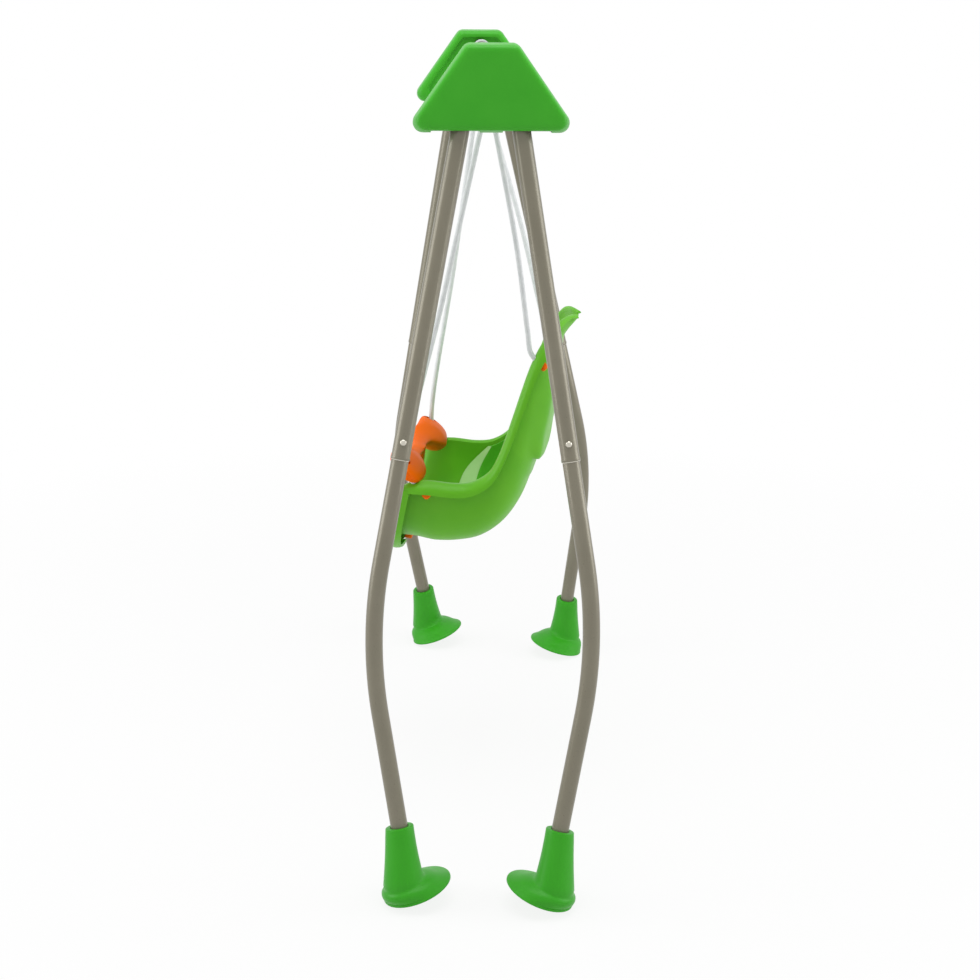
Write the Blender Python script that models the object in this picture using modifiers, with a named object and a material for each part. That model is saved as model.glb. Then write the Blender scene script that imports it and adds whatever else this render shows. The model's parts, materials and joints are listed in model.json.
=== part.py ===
"""A baby swing on a folding four-legged frame, part folded, as separate pieces.

Metres, +Z up, standing on z = 0. The swing faces -X and the top bar lies along Y. A leg is
called front or rear, and left or right as a child in the seat would say it, so left is -Y.
"""

from math import asin, atan2, cos, degrees, pi, radians, sin, tan

import bmesh
import bpy
from mathutils import Matrix, Vector

# Legs: a straight upper tube, and a lower tube with one bend, in plane with the fold
UPPER_TUBE_D = 0.0265
LOWER_TUBE_D = 0.0250
UPPER_WALL = 0.0010
LOWER_WALL = 0.0015
PIVOT_TO_JOINT = 0.511
PIVOT_TO_BEND = 0.659
BEND_RADIUS = 0.640
BEND_ANGLE = radians(19.7)
BEND_TO_FOOT = 0.167
TOP_STUB = 0.018
SPIGOT = 0.045
SCREW_ABOVE_JOINT = 0.026
# How far each leg stands from upright: opened for use, and as it stands part folded
FOLD_IN_USE = radians(30.2)
FOLD_AT_REST = {
    ("front", "left"): radians(10.7),
    ("rear", "left"): radians(8.9),
    ("front", "right"): radians(9.1),
    ("rear", "right"): radians(13.4),
}
SPLAY = radians(10.5)
SPLAY_AT_FOLD = radians(10.5)
# Top bar and the two housings on its ends
BAR_SPAN = 0.667
TOP_BAR_D = 0.022
TOP_BAR_WALL = 0.0015
BAR_ABOVE_PIVOTS = 0.050
PIVOT_HALF_GAP = 0.0355
PIVOT_ABOVE_EDGE = 0.045
HOUSING_HALF_BASE = 0.1225
HOUSING_HALF_TOP = 0.0360
HOUSING_HEIGHT = 0.1215
HOUSING_CORNER = 0.014
HOUSING_OUT = 0.030
PANEL_RECESS = 0.0055
HOUSING_WALL = 0.0025
SEAM_OUT = 0.006
PLATE_THICK = 0.0025
PLATE_TO_TUBE = 0.00425
PLATE_GAP = UPPER_TUBE_D + 2 * PLATE_TO_TUBE
NUT_ROOM = 0.0225
HOUSING_IN = PLATE_GAP / 2 + NUT_ROOM
BOLT_D = 0.006
# Feet: a leaning cone on a round flange that is set in towards the middle of the frame
FOOT_HEIGHT = 0.099
FOOT_RIM_R = 0.0175
FOOT_CONE_R = 0.030
FLANGE_R = 0.0515
SKIRT_HEIGHT = 0.021
FLANGE_INSET_X = 0.0105
FLANGE_INSET_Y = 0.012
SOCKET_DEPTH = 0.070
# The swing
SEAT_DROP = 0.778
SEAT_TURN = radians(-5.0)
SEAT_WALL = 0.004
RIM_HALF_WIDTH = 0.134
RIM_ROLL = 0.023
LINER_WALL = 0.011
HANGER_SPREAD = 0.200
HANGER_DROP = 0.080
HANGER_RING_R = 0.0140
HANGER_THICK = 0.016
CLAMP_HALF_WIDTH = 0.0135
CLAMP_HEIGHT = 0.024
ROPE_D = 0.008
ROPE_IN_CLAMP = 0.010
ROPES_APART = 0.0044
ROPE_POINTS = 34
SAFETY_BAR_TILT = radians(8.0)
STOPPER_R = 0.0065
# The air that parts made to touch are given here
GAP = 0.0003

SIDES = {"front": -1, "rear": 1}
ENDS = {"left": -1, "right": 1}
BAR_HALF = BAR_SPAN / 2

LEAF_GREEN = (0.045, 0.34, 0.030)
LIME_GREEN = (0.12, 0.46, 0.028)
PALE_LIME = (0.17, 0.52, 0.05)
ORANGE = (0.87, 0.16, 0.010)
TAUPE = (0.23, 0.205, 0.155)
WHITE = (0.80, 0.81, 0.80)
STEEL = (0.55, 0.55, 0.55)

for old in list(bpy.data.objects):
    bpy.data.objects.remove(old)
PARTS = bpy.data.collections.new("baby_swing")
CUTTERS = bpy.data.collections.new("cutters")
for collection in (PARTS, CUTTERS):
    bpy.context.scene.collection.children.link(collection)


def material(name, colour, roughness, metallic=0.0):
    mat = bpy.data.materials.new(name)
    mat.use_nodes = True
    shader = mat.node_tree.nodes["Principled BSDF"]
    shader.inputs["Base Color"].default_value = (*colour, 1.0)
    shader.inputs["Roughness"].default_value = roughness
    shader.inputs["Metallic"].default_value = metallic
    return mat


HOUSING_GREEN = material("housing_green", LEAF_GREEN, 0.4)
SEAT_LIME = material("seat_lime", LIME_GREEN, 0.35)
LINER_LIME = material("liner_lime", PALE_LIME, 0.4)
BAR_ORANGE = material("bar_orange", ORANGE, 0.35)
TUBE_TAUPE = material("tube_taupe", TAUPE, 0.3, 0.2)
HANGER_WHITE = material("hanger_white", WHITE, 0.45)
ROPE_WHITE = material("rope_white", WHITE, 0.8)
ZINC = material("zinc_steel", STEEL, 0.3, 1.0)
BUSH_GREY = material("bush_grey", (0.10, 0.10, 0.10), 0.5)


def add(obj, parent=None, mat=None):
    """Puts a piece in the parts' collection, on its parent and in its material."""
    for user in list(obj.users_collection):
        user.objects.unlink(obj)
    PARTS.objects.link(obj)
    obj.parent = parent
    if mat:
        obj.data.materials.clear()
        obj.data.materials.append(mat)
    return obj


def cutter(obj, parent=None):
    for user in list(obj.users_collection):
        user.objects.unlink(obj)
    CUTTERS.objects.link(obj)
    obj.parent = parent
    obj.hide_render = True
    obj.display_type = "WIRE"
    return obj


def cut(obj, tool, operation="DIFFERENCE"):
    step = obj.modifiers.new(tool.name, "BOOLEAN")
    step.operation = operation
    step.object = tool
    return step


def smooth(obj, angle=35):
    obj.data.shade_smooth()
    obj.data.set_sharp_from_angle(angle=radians(angle))


def mesh_object(name, bm):
    bmesh.ops.recalc_face_normals(bm, faces=bm.faces)
    mesh = bpy.data.meshes.new(name)
    bm.to_mesh(mesh)
    bm.free()
    obj = bpy.data.objects.new(name, mesh)
    bpy.context.scene.collection.objects.link(obj)
    return obj


def cylinder(name, start, end, radius, sides=16):
    """A capped cylinder from one point to another."""
    start, end = Vector(start), Vector(end)
    bm = bmesh.new()
    bmesh.ops.create_cone(
        bm, cap_ends=True, segments=sides, radius1=radius, radius2=radius, depth=(end - start).length
    )
    turn = (end - start).to_track_quat("Z", "Y").to_matrix().to_4x4()
    bmesh.ops.transform(bm, matrix=Matrix.Translation((start + end) / 2) @ turn, verts=bm.verts)
    return mesh_object(name, bm)


def box(name, low, high):
    low, high = Vector(low), Vector(high)
    bm = bmesh.new()
    bmesh.ops.create_cube(bm, size=1.0)
    bmesh.ops.scale(bm, vec=high - low, verts=bm.verts)
    bmesh.ops.translate(bm, vec=(low + high) / 2, verts=bm.verts)
    return mesh_object(name, bm)


def turned(name, profile, base, direction, sides=16):
    """A solid of revolution: (distance along the axis, radius) from end to end."""
    outline = [(profile[0][0], 0.0), *profile, (profile[-1][0], 0.0)]
    bm = bmesh.new()
    points = [bm.verts.new((radius, 0.0, along)) for along, radius in reversed(outline)]
    for upper, lower in zip(points, points[1:]):
        bm.edges.new((upper, lower))
    mesh = bpy.data.meshes.new(name)
    bm.to_mesh(mesh)
    bm.free()
    obj = bpy.data.objects.new(name, mesh)
    turn = Vector(direction).to_track_quat("Z", "Y").to_matrix().to_4x4()
    obj.matrix_basis = Matrix.Translation(Vector(base)) @ turn
    bpy.context.scene.collection.objects.link(obj)
    spin = obj.modifiers.new("spin", "SCREW")
    spin.steps = sides
    spin.render_steps = sides
    spin.use_merge_vertices = True
    spin.merge_threshold = 0.00001
    spin.use_smooth_shade = True
    return obj


def join_rings(bm, rings, closed):
    """Faces between rows of points that have as many points each."""
    for low, high in zip(rings, rings[1:]):
        count = len(low)
        for i in range(count if closed else count - 1):
            j = (i + 1) % count
            bm.faces.new((low[i], low[j], high[j], high[i]))


def tube_mesh(name, points, radius, resolution=6, radii=None, caps=True):
    """A rod along a line of points as a welded mesh, or only its outside when it has no caps."""
    curve = bpy.data.curves.new(name + "_line", "CURVE")
    curve.dimensions = "3D"
    curve.bevel_depth = radius
    curve.bevel_resolution = resolution
    curve.use_fill_caps = caps
    spline = curve.splines.new("POLY")
    spline.points.add(len(points) - 1)
    for i, point in enumerate(points):
        spline.points[i].co = (*point, 1.0)
        spline.points[i].radius = radii[i] / radius if radii else 1.0
    line = bpy.data.objects.new(name + "_line", curve)
    bpy.context.scene.collection.objects.link(line)
    mesh = bpy.data.meshes.new_from_object(line.evaluated_get(bpy.context.evaluated_depsgraph_get()))
    bm = bmesh.new()
    bm.from_mesh(mesh)
    bmesh.ops.remove_doubles(bm, verts=bm.verts, dist=0.00001)
    bpy.data.objects.remove(line)
    bpy.data.meshes.remove(mesh)
    return mesh_object(name, bm)


def face_away(obj, middle, index=0):
    """Turns an open surface's faces, if need be, so that they point away from a place inside it."""
    face = obj.data.polygons[index]
    if face.normal.dot(face.center - Vector(middle)) < 0:
        obj.data.flip_normals()


def give_wall(obj, thickness):
    """Thickens an open surface inwards."""
    wall = obj.modifiers.new("wall", "SOLIDIFY")
    wall.thickness = thickness
    wall.offset = -1.0
    wall.use_quality_normals = True
    return wall


def pipe(name, points, radii, thickness):
    """A hollow tube along a line of points, with a radius for each of them."""
    tube = tube_mesh(name, points, max(radii), radii=radii, caps=False)
    face_away(tube, points[0].lerp(points[1], 0.5))
    give_wall(tube, thickness)
    return tube


def flat_plate(name, outline, holes, thickness):
    """A flat outline in X and Z with round holes, centred on y = 0 and thickness deep."""
    curve = bpy.data.curves.new(name + "_line", "CURVE")
    curve.dimensions = "2D"
    curve.fill_mode = "BOTH"
    curve.extrude = thickness / 2
    rings = [outline]
    for x, z, radius, sides in holes:
        angles = [2 * pi * i / sides for i in range(sides)]
        rings.append([(x + radius * cos(a), z + radius * sin(a)) for a in angles])
    for ring in rings:
        spline = curve.splines.new("POLY")
        spline.points.add(len(ring) - 1)
        spline.use_cyclic_u = True
        for i, (x, z) in enumerate(ring):
            spline.points[i].co = (x, z, 0.0, 1.0)
    line = bpy.data.objects.new(name + "_line", curve)
    bpy.context.scene.collection.objects.link(line)
    mesh = bpy.data.meshes.new_from_object(line.evaluated_get(bpy.context.evaluated_depsgraph_get()))
    bm = bmesh.new()
    bm.from_mesh(mesh)
    bmesh.ops.remove_doubles(bm, verts=bm.verts, dist=0.00001)
    bmesh.ops.transform(bm, matrix=Matrix.Rotation(pi / 2, 4, "X"), verts=bm.verts)
    bpy.data.objects.remove(line)
    bpy.data.meshes.remove(mesh)
    return mesh_object(name, bm)


def empty(name, place, parent=None):
    obj = bpy.data.objects.new(name, None)
    obj.empty_display_size = 0.03
    obj.location = place
    PARTS.objects.link(obj)
    obj.parent = parent
    return obj


# The leg's line, in its own flat: u outwards and v down from the pivot
def leg_line(along):
    if along <= PIVOT_TO_BEND:
        return 0.0, along
    turn = min((along - PIVOT_TO_BEND) / BEND_RADIUS, BEND_ANGLE)
    u = -BEND_RADIUS * (1 - cos(turn))
    v = PIVOT_TO_BEND + BEND_RADIUS * sin(turn)
    past = along - PIVOT_TO_BEND - BEND_RADIUS * BEND_ANGLE
    if past > 0:
        u -= past * sin(BEND_ANGLE)
        v += past * cos(BEND_ANGLE)
    return u, v


def leg_point(along, side, end, splay, fold=FOLD_IN_USE):
    """A point of the leg's line from its pivot, at some fold, splayed out along the top bar."""
    u, v = leg_line(along)
    return Vector(
        (
            side * (u * cos(fold) + v * cos(splay) * sin(fold)),
            end * v * sin(splay),
            u * sin(fold) - v * cos(splay) * cos(fold),
        )
    )


def leg_direction(along, side, end, splay):
    step = 0.001
    ahead = leg_point(along + step, side, end, splay)
    return (ahead - leg_point(along - step, side, end, splay)).normalized()


LEG_TO_RIM = PIVOT_TO_BEND + BEND_RADIUS * BEND_ANGLE + BEND_TO_FOOT


def sole_centre(side, end, splay):
    """The middle of the sole from the pivot, with the leg opened for use."""
    rim = leg_point(LEG_TO_RIM, side, end, splay)
    way = leg_direction(LEG_TO_RIM, side, end, splay)
    hit = rim + way * (FOOT_HEIGHT / -way.z)
    return hit - Vector((side * FLANGE_INSET_X, end * FLANGE_INSET_Y, 0.0))


def stands_at(fold, splay):
    """How far below its pivot the outer edge of a foot touches the ground, at some fold."""
    tilt = FOLD_IN_USE - fold
    centre = sole_centre(1, 1, splay)
    return -(centre.z * cos(tilt) - centre.x * sin(tilt)) + FLANGE_R * sin(tilt)


STAND_HEIGHT = stands_at(SPLAY_AT_FOLD, SPLAY)


def splay_to_stand(fold):
    """The splay that puts a foot on the same ground as the others, found by halving."""
    low, high = 0.0, 2 * SPLAY
    for _ in range(40):
        middle = (low + high) / 2
        if stands_at(fold, middle) > STAND_HEIGHT:
            low = middle
        else:
            high = middle
    return (low + high) / 2


PIVOT_Z = STAND_HEIGHT
EDGE_Z = PIVOT_Z - PIVOT_ABOVE_EDGE
BAR_Z = PIVOT_Z + BAR_ABOVE_PIVOTS
# Where the housing's screws stand, in X and Z
PLATE_SCREWS = [(-0.018, BAR_Z - 0.022), (0.018, BAR_Z - 0.022)]


def pivot_place(side, end):
    return Vector((side * PIVOT_HALF_GAP, end * BAR_HALF, PIVOT_Z))


def make_foot(name, side, end, splay):
    """A loft from the round rim on the tube down to the round flange."""
    rim = leg_point(LEG_TO_RIM, side, end, splay)
    way = leg_direction(LEG_TO_RIM, side, end, splay)
    sole = sole_centre(side, end, splay)
    cone_base = sole + Vector((side * FLANGE_INSET_X, end * FLANGE_INSET_Y, 0.0)) * 1.15
    level = Vector((0, 0, -1))
    across = way.cross(Vector((0, 1, 0))).normalized()
    cone_base.z += SKIRT_HEIGHT
    cone_top = cone_base + Vector((0, 0, 0.008))
    halfway = rim.lerp(cone_top, 0.5)
    rings = []
    bm = bmesh.new()
    # (centre, facing, radius) of each ring, from the rim down
    sections = [
        (rim, way, FOOT_RIM_R - 0.0015),
        (rim + way * 0.0015, way, FOOT_RIM_R),
        (halfway, way.lerp(level, 0.5).normalized(), (FOOT_RIM_R + FOOT_CONE_R) / 2 - 0.0008),
        (cone_top, level, FOOT_CONE_R),
        (cone_base, level, FOOT_CONE_R + 0.0025),
        (cone_base.lerp(sole, 0.5), level, (FOOT_CONE_R + FLANGE_R) / 2 - 0.0005),
        (sole + Vector((0, 0, 0.003)), level, FLANGE_R - 0.001),
        (sole + Vector((0, 0, 0.001)), level, FLANGE_R),
        (sole, level, FLANGE_R - 0.001),
    ]
    sides = 24
    for centre, facing, radius in sections:
        first = (across - facing * across.dot(facing)).normalized()
        second = facing.cross(first)
        ring = []
        for i in range(sides):
            a = 2 * pi * i / sides
            ring.append(bm.verts.new(centre + (first * cos(a) + second * sin(a)) * radius))
        rings.append(ring)
    join_rings(bm, rings, closed=True)
    bm.faces.new(rings[0])
    bm.faces.new(rings[-1])
    return mesh_object(name, bm)


def make_leg(side_name, end_name):
    side, end = SIDES[side_name], ENDS[end_name]
    label = f"{side_name}_{end_name}"
    fold = FOLD_AT_REST[side_name, end_name]
    splay = splay_to_stand(fold)
    pivot = empty(f"{label}_pivot", pivot_place(side, end))
    pivot.rotation_euler.y = side * (FOLD_IN_USE - fold)

    def at(along):
        return leg_point(along, side, end, splay)

    axis = Vector((0, end, 0))
    bolt_hole = cutter(
        cylinder(f"{label}_bolt_hole", axis * -0.03, axis * 0.03, BOLT_D / 2 + GAP, 12), pivot
    )

    upper = pipe(
        f"{label}_upper_tube",
        [at(-TOP_STUB), at(PIVOT_TO_JOINT)],
        [UPPER_TUBE_D / 2] * 2,
        UPPER_WALL,
    )
    add(upper, pivot, TUBE_TAUPE)

    # The lower tube's top is drawn down to push up into the upper one
    bends = [PIVOT_TO_BEND + BEND_RADIUS * BEND_ANGLE * i / 6 for i in range(7)]
    joint = [PIVOT_TO_JOINT - SPIGOT, PIVOT_TO_JOINT, PIVOT_TO_JOINT + GAP]
    stops = [*joint, *bends, LEG_TO_RIM + SOCKET_DEPTH]
    spigot = UPPER_TUBE_D / 2 - UPPER_WALL - GAP
    lower = pipe(
        f"{label}_lower_tube",
        [at(stop) for stop in stops],
        [spigot, spigot] + [LOWER_TUBE_D / 2] * (len(stops) - 2),
        LOWER_WALL,
    )
    add(lower, pivot, TUBE_TAUPE)

    # The pan-headed screw that pins the two tubes, with its head on the outer side
    screw_at = PIVOT_TO_JOINT - SCREW_ABOVE_JOINT
    way = leg_direction(screw_at, side, end, splay)
    out = (axis - way * axis.dot(way)).normalized()
    seat = at(screw_at)
    far = UPPER_TUBE_D / 2
    screw = add(
        turned(
            f"{label}_tube_screw",
            [
                (-far - 0.002, 0.0020),
                (far + 0.0004, 0.0020),
                (far + 0.0004, 0.0046),
                (far + 0.0018, 0.0044),
                (far + 0.0028, 0.0030),
            ],
            seat,
            out,
        ),
        pivot,
        ZINC,
    )
    screw_hole = cutter(
        cylinder(f"{label}_screw_hole", seat - out * 0.03, seat + out * 0.03, 0.0020 + GAP, 12), pivot
    )
    cut(upper, bolt_hole)
    cut(upper, screw_hole)
    cut(lower, screw_hole)

    bush_r = UPPER_TUBE_D / 2 - UPPER_WALL - GAP
    bush = add(
        turned(
            f"{label}_pivot_bush",
            [
                (-0.020, bush_r),
                (TOP_STUB + GAP, bush_r),
                (TOP_STUB + GAP, bush_r + 0.001),
                (TOP_STUB + 0.002, bush_r),
            ],
            (0, 0, 0),
            -leg_direction(0.0, side, end, splay),
        ),
        pivot,
        BUSH_GREY,
    )
    cut(bush, bolt_hole)

    foot = add(make_foot(f"{label}_foot", side, end, splay), pivot, HOUSING_GREEN)
    foot_bore = cutter(
        cylinder(
            f"{label}_foot_bore",
            at(LEG_TO_RIM - 0.01),
            at(LEG_TO_RIM + SOCKET_DEPTH + GAP),
            LOWER_TUBE_D / 2 + 2 * GAP,
            16,
        ),
        pivot,
    )
    cut(foot, foot_bore)
    for piece in (upper, lower, screw, bush, foot):
        smooth(piece)


def trapezoid(half_base, half_top, low, high, corner, arc=5):
    """A rounded trapezoid in X and Z, counter-clockwise from its lower right corner."""
    corners = [(half_base, low), (half_top, high), (-half_top, high), (-half_base, low)]
    points = []
    for i, (x, z) in enumerate(corners):
        here = Vector((x, z))
        before = (Vector(corners[i - 1]) - here).normalized()
        after = (Vector(corners[(i + 1) % 4]) - here).normalized()
        half = before.angle(after) / 2
        middle = here + (before + after).normalized() * (corner / sin(half))
        first = here + before * (corner / tan(half)) - middle
        last = here + after * (corner / tan(half)) - middle
        a = atan2(first.y, first.x)
        sweep = (atan2(last.y, last.x) - a) % (2 * pi)
        for k in range(arc):
            t = a + sweep * k / (arc - 1)
            points.append((middle.x + corner * cos(t), middle.y + corner * sin(t)))
    return points


def housing_ring(bm, inset, rise, y):
    """The housing's outline at one depth: the inset draws in its top and sides, the rise its base."""
    slope = atan2(HOUSING_HALF_BASE - HOUSING_HALF_TOP, HOUSING_HEIGHT)
    low = EDGE_Z + rise
    high = EDGE_Z + HOUSING_HEIGHT - inset
    draw = inset / cos(slope)
    base = HOUSING_HALF_BASE - draw - rise * tan(slope)
    top = HOUSING_HALF_TOP - draw + inset * tan(slope)
    outline = trapezoid(base, top, low, high, max(HOUSING_CORNER - inset * 0.35, 0.006))
    return [bm.verts.new((x, y, z)) for x, z in outline]


def make_housing(end_name):
    end = ENDS[end_name]
    middle = end * BAR_HALF
    seam = middle + end * SEAM_OUT
    # (inset, rise of the base, share of the shell's depth) of each ring, from the seam out
    outer_rings = [
        (0.0, 0.0, 0.0),
        (0.0, 0.0, 0.10),
        (0.0012, 0.0, 0.35),
        (0.0032, 0.0003, 0.62),
        (0.0060, 0.0015, 0.84),
        (0.0095, 0.0045, 0.95),
        (0.0160, 0.0110, 1.0),
    ]
    inner_rings = [
        (0.0, 0.0, 0.0),
        (0.0, 0.0, 0.45),
        (0.0012, 0.0012, 0.78),
        (0.0035, 0.0035, 0.93),
        (0.0070, 0.0070, 1.0),
        (0.0120, 0.0120, 1.0),
        (0.0145, 0.0145, 1.0 - PANEL_RECESS / HOUSING_IN),
    ]
    shells = []
    for part, rings, way in (("outer", outer_rings, end), ("inner", inner_rings, -end)):
        depth = HOUSING_OUT if part == "outer" else HOUSING_IN
        bm = bmesh.new()
        loops = []
        for inset, rise, out in rings:
            loops.append(housing_ring(bm, inset, rise, seam + way * (GAP / 2 + out * depth)))
        join_rings(bm, loops, closed=True)
        bm.faces.new(loops[-1])
        shell = add(mesh_object(f"{end_name}_housing_{part}", bm), None, HOUSING_GREEN)
        face_away(shell, (0, seam, EDGE_Z + HOUSING_HEIGHT / 2))
        give_wall(shell, HOUSING_WALL).use_even_offset = True
        shells.append(shell)

    # The slots that the legs come out of, one for each leg, through both shells
    inner_x = PIVOT_HALF_GAP - UPPER_TUBE_D * 0.75
    outer_x = PIVOT_HALF_GAP + PIVOT_ABOVE_EDGE * tan(FOLD_IN_USE) + UPPER_TUBE_D * 0.85
    lean = PIVOT_ABOVE_EDGE * tan(SPLAY)
    near, far = sorted((middle - end * UPPER_TUBE_D * 0.62, middle + end * (lean + UPPER_TUBE_D * 0.70)))
    for side_name, side in SIDES.items():
        low_x, high_x = sorted((side * inner_x, side * outer_x))
        slot = cutter(
            box(
                f"{end_name}_{side_name}_slot",
                (low_x, near, EDGE_Z - 0.01),
                (high_x, far, EDGE_Z + HOUSING_WALL + 0.004),
            )
        )
        for shell in shells:
            cut(shell, slot)
    bar_hole = cutter(
        cylinder(
            f"{end_name}_bar_hole",
            (0, middle - end * 0.06, BAR_Z),
            (0, middle - end * 0.01, BAR_Z),
            TOP_BAR_D / 2 + 0.0006,
            20,
        )
    )
    cut(shells[1], bar_hole)

    # Screws through the inner shell into the inner plate
    inner_face = middle - end * PLATE_GAP / 2
    plate_out = inner_face - end * PLATE_THICK
    shell_face = seam - end * (HOUSING_IN - PANEL_RECESS + GAP / 2)
    for x, z in PLATE_SCREWS:
        name = f"{end_name}_housing_screw_{'front' if x < 0 else 'rear'}"
        screw = turned(
            name,
            [
                (-abs(shell_face - inner_face) - 0.001, 0.0018),
                (GAP, 0.0018),
                (GAP, 0.0040),
                (0.0022, 0.0030),
            ],
            (x, shell_face, z),
            (0, -end, 0),
            12,
        )
        smooth(add(screw, None, ZINC))
        hole = cutter(
            cylinder(
                f"{name}_hole",
                (x, shell_face - end * 0.01, z),
                (x, shell_face + end * 0.006, z),
                0.0018 + GAP,
                12,
            )
        )
        cut(shells[1], hole)
    for shell in shells:
        smooth(shell)

    plate_middle = {
        "inner": (inner_face + plate_out) / 2,
        "outer": middle + end * (PLATE_GAP + PLATE_THICK) / 2,
    }
    for part, y in plate_middle.items():
        holes = [
            (-PIVOT_HALF_GAP, PIVOT_Z, BOLT_D / 2 + GAP, 12),
            (PIVOT_HALF_GAP, PIVOT_Z, BOLT_D / 2 + GAP, 12),
            (0.0, BAR_Z, TOP_BAR_D / 2 + GAP, 20),
        ]
        if part == "inner":
            holes += [(x, z, 0.0018 + GAP, 12) for x, z in PLATE_SCREWS]
        outline = trapezoid(PIVOT_HALF_GAP + 0.022, 0.020, PIVOT_Z - 0.013, BAR_Z + 0.017, 0.008, arc=4)
        plate = flat_plate(f"{end_name}_plate_{part}", outline, holes, PLATE_THICK)
        plate.location.y = y
        add(plate, None, ZINC)

    for side_name, side in SIDES.items():
        head = PLATE_GAP / 2 + PLATE_THICK + GAP
        place = (side * PIVOT_HALF_GAP, middle, PIVOT_Z)
        bolt = turned(
            f"{side_name}_{end_name}_pivot_bolt",
            [(-head - 0.0050, BOLT_D / 2), (head, BOLT_D / 2), (head, 0.0055), (head + 0.004, 0.0055)],
            place,
            (0, end, 0),
            12,
        )
        smooth(add(bolt, None, ZINC))
        nut = flat_plate(
            f"{side_name}_{end_name}_pivot_nut",
            [(0.0058 * cos(pi * i / 3), 0.0058 * sin(pi * i / 3)) for i in range(6)],
            [(0.0, 0.0, BOLT_D / 2 + GAP, 12)],
            0.0045,
        )
        nut.location = (side * PIVOT_HALF_GAP, middle - end * (head + 0.00225), PIVOT_Z)
        add(nut, None, ZINC)


def make_top_bar():
    reach = BAR_HALF + PLATE_GAP / 2 + PLATE_THICK
    bar = add(
        cylinder("top_bar", (0, -reach, BAR_Z), (0, reach, BAR_Z), TOP_BAR_D / 2, 24), None, TUBE_TAUPE
    )
    bore = cutter(
        cylinder(
            "top_bar_bore",
            (0, -reach - 0.01, BAR_Z),
            (0, reach + 0.01, BAR_Z),
            TOP_BAR_D / 2 - TOP_BAR_WALL,
            24,
        )
    )
    cut(bar, bore)
    smooth(bar)


# The seat's side view: for each station back from its front edge, a point of the middle of its
# outside and a point of its rim, in X and up from the seat's lowest point, and the rim's half width
SEAT_STATIONS = [
    ((-0.141, -0.006), (-0.132, 0.106), 0.014),
    ((-0.134, 0.002), (-0.121, 0.113), 0.002),
    ((-0.105, 0.004), (-0.095, 0.125), 0.0),
    ((-0.068, 0.000), (-0.066, 0.129), 0.0),
    ((-0.030, 0.002), (-0.030, 0.126), 0.0),
    ((0.008, 0.012), (-0.001, 0.130), 0.0),
    ((0.043, 0.038), (0.024, 0.147), -0.001),
    ((0.069, 0.076), (0.040, 0.172), -0.003),
    ((0.086, 0.120), (0.052, 0.201), -0.005),
    ((0.099, 0.168), (0.062, 0.235), -0.009),
    ((0.109, 0.216), (0.071, 0.270), -0.014),
    ((0.117, 0.264), (0.081, 0.305), -0.020),
    ((0.124, 0.304), (0.094, 0.334), -0.029),
    ((0.130, 0.333), (0.108, 0.352), -0.043),
    ((0.136, 0.352), (0.121, 0.364), -0.062),
    ((0.142, 0.364), (0.134, 0.3705), -0.084),
    ((0.149, 0.3685), (0.146, 0.3725), -0.103),
    ((0.157, 0.364), (0.157, 0.3665), -0.115),
]
# How much of the rim's roll is left at each of the last stations
HEAD_TAPER = {13: 0.85, 14: 0.65, 15: 0.45, 16: 0.35, 17: 0.30}


def seat_station(place):
    """The outside's middle, the rim and its half width at a station, or part way to the next."""
    index = max(0, min(int(place), len(SEAT_STATIONS) - 2))
    share = place - index
    (base, rim, more), (next_base, next_rim, next_more) = SEAT_STATIONS[index : index + 2]
    half_width = RIM_HALF_WIDTH + more + (next_more - more) * share
    return Vector(base).lerp(Vector(next_base), share), Vector(rim).lerp(Vector(next_rim), share), half_width


def bucket_row(place, columns=8, inset=0.0, lean=0.0, reach=1.0):
    """Points across the bucket at one station, from the left rim to the right.

    The lean takes the row on by so many stations from its middle to its rims, and the reach is how
    much of the way up to the rims it goes.
    """
    row = []
    for i in range(-columns, columns + 1):
        a = i / columns * pi / 2 * reach
        full = min(1.0, place / 3)
        up = (1 - cos(a)) ** (1.10 + 0.25 * full)
        base, rim, half_width = seat_station(place + lean * up)
        rise = (rim - base).normalized()
        base = base + rise * inset
        y = (half_width - inset) * abs(sin(a)) ** (0.84 - 0.20 * full) * (1 if i > 0 else -1)
        point = base + (rim - base) * up
        row.append(Vector((point.x, y if i else 0.0, point.y)))
    return row


def with_roll(row, place, size):
    """The row with the rim rolled outwards and down at both ends."""
    base, rim, _ = seat_station(place)
    rise = (rim - base).normalized()
    steps = [(0.35, 0.05), (0.74, -0.20), (0.97, -0.55), (1.03, -1.0)]
    ends = []
    for sign, edge in ((-1, row[0]), (1, row[-1])):
        roll = []
        for out, up in steps:
            roll.append(edge + Vector((rise.x * up * size, sign * out * size, rise.y * up * size)))
        ends.append(roll)
    return [*reversed(ends[0]), *row, *ends[1]]


# Each pair of rope holes in the rim: place in X and up, Y, and the way the rope runs down through it
ROPE_HOLES = {
    "front": (Vector((-0.090, 0.124)), RIM_HALF_WIDTH + RIM_ROLL * 0.48, Vector((0.25, -0.97))),
    "back": (Vector((0.0930, 0.3215)), RIM_HALF_WIDTH - 0.025 + RIM_ROLL * 0.55, Vector((0.74, -0.67))),
}


def make_seat(parent):
    bm = bmesh.new()
    rows = []
    for i in range(len(SEAT_STATIONS)):
        row = with_roll(bucket_row(i), i, RIM_ROLL * HEAD_TAPER.get(i, 1.0))
        rows.append([bm.verts.new(point) for point in row])
    join_rings(bm, rows, closed=False)
    shell = add(mesh_object("seat_shell", bm), parent, SEAT_LIME)
    base, rim, _ = seat_station(len(SEAT_STATIONS) // 2)
    middle = base.lerp(rim, 0.5)
    face_away(shell, (middle.x, 0.0, middle.y), len(shell.data.polygons) // 2)
    give_wall(shell, SEAT_WALL)
    smooth(shell, 50)
    return shell


def slide_way():
    return Vector((sin(SAFETY_BAR_TILT), 0.0, cos(SAFETY_BAR_TILT)))


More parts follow.
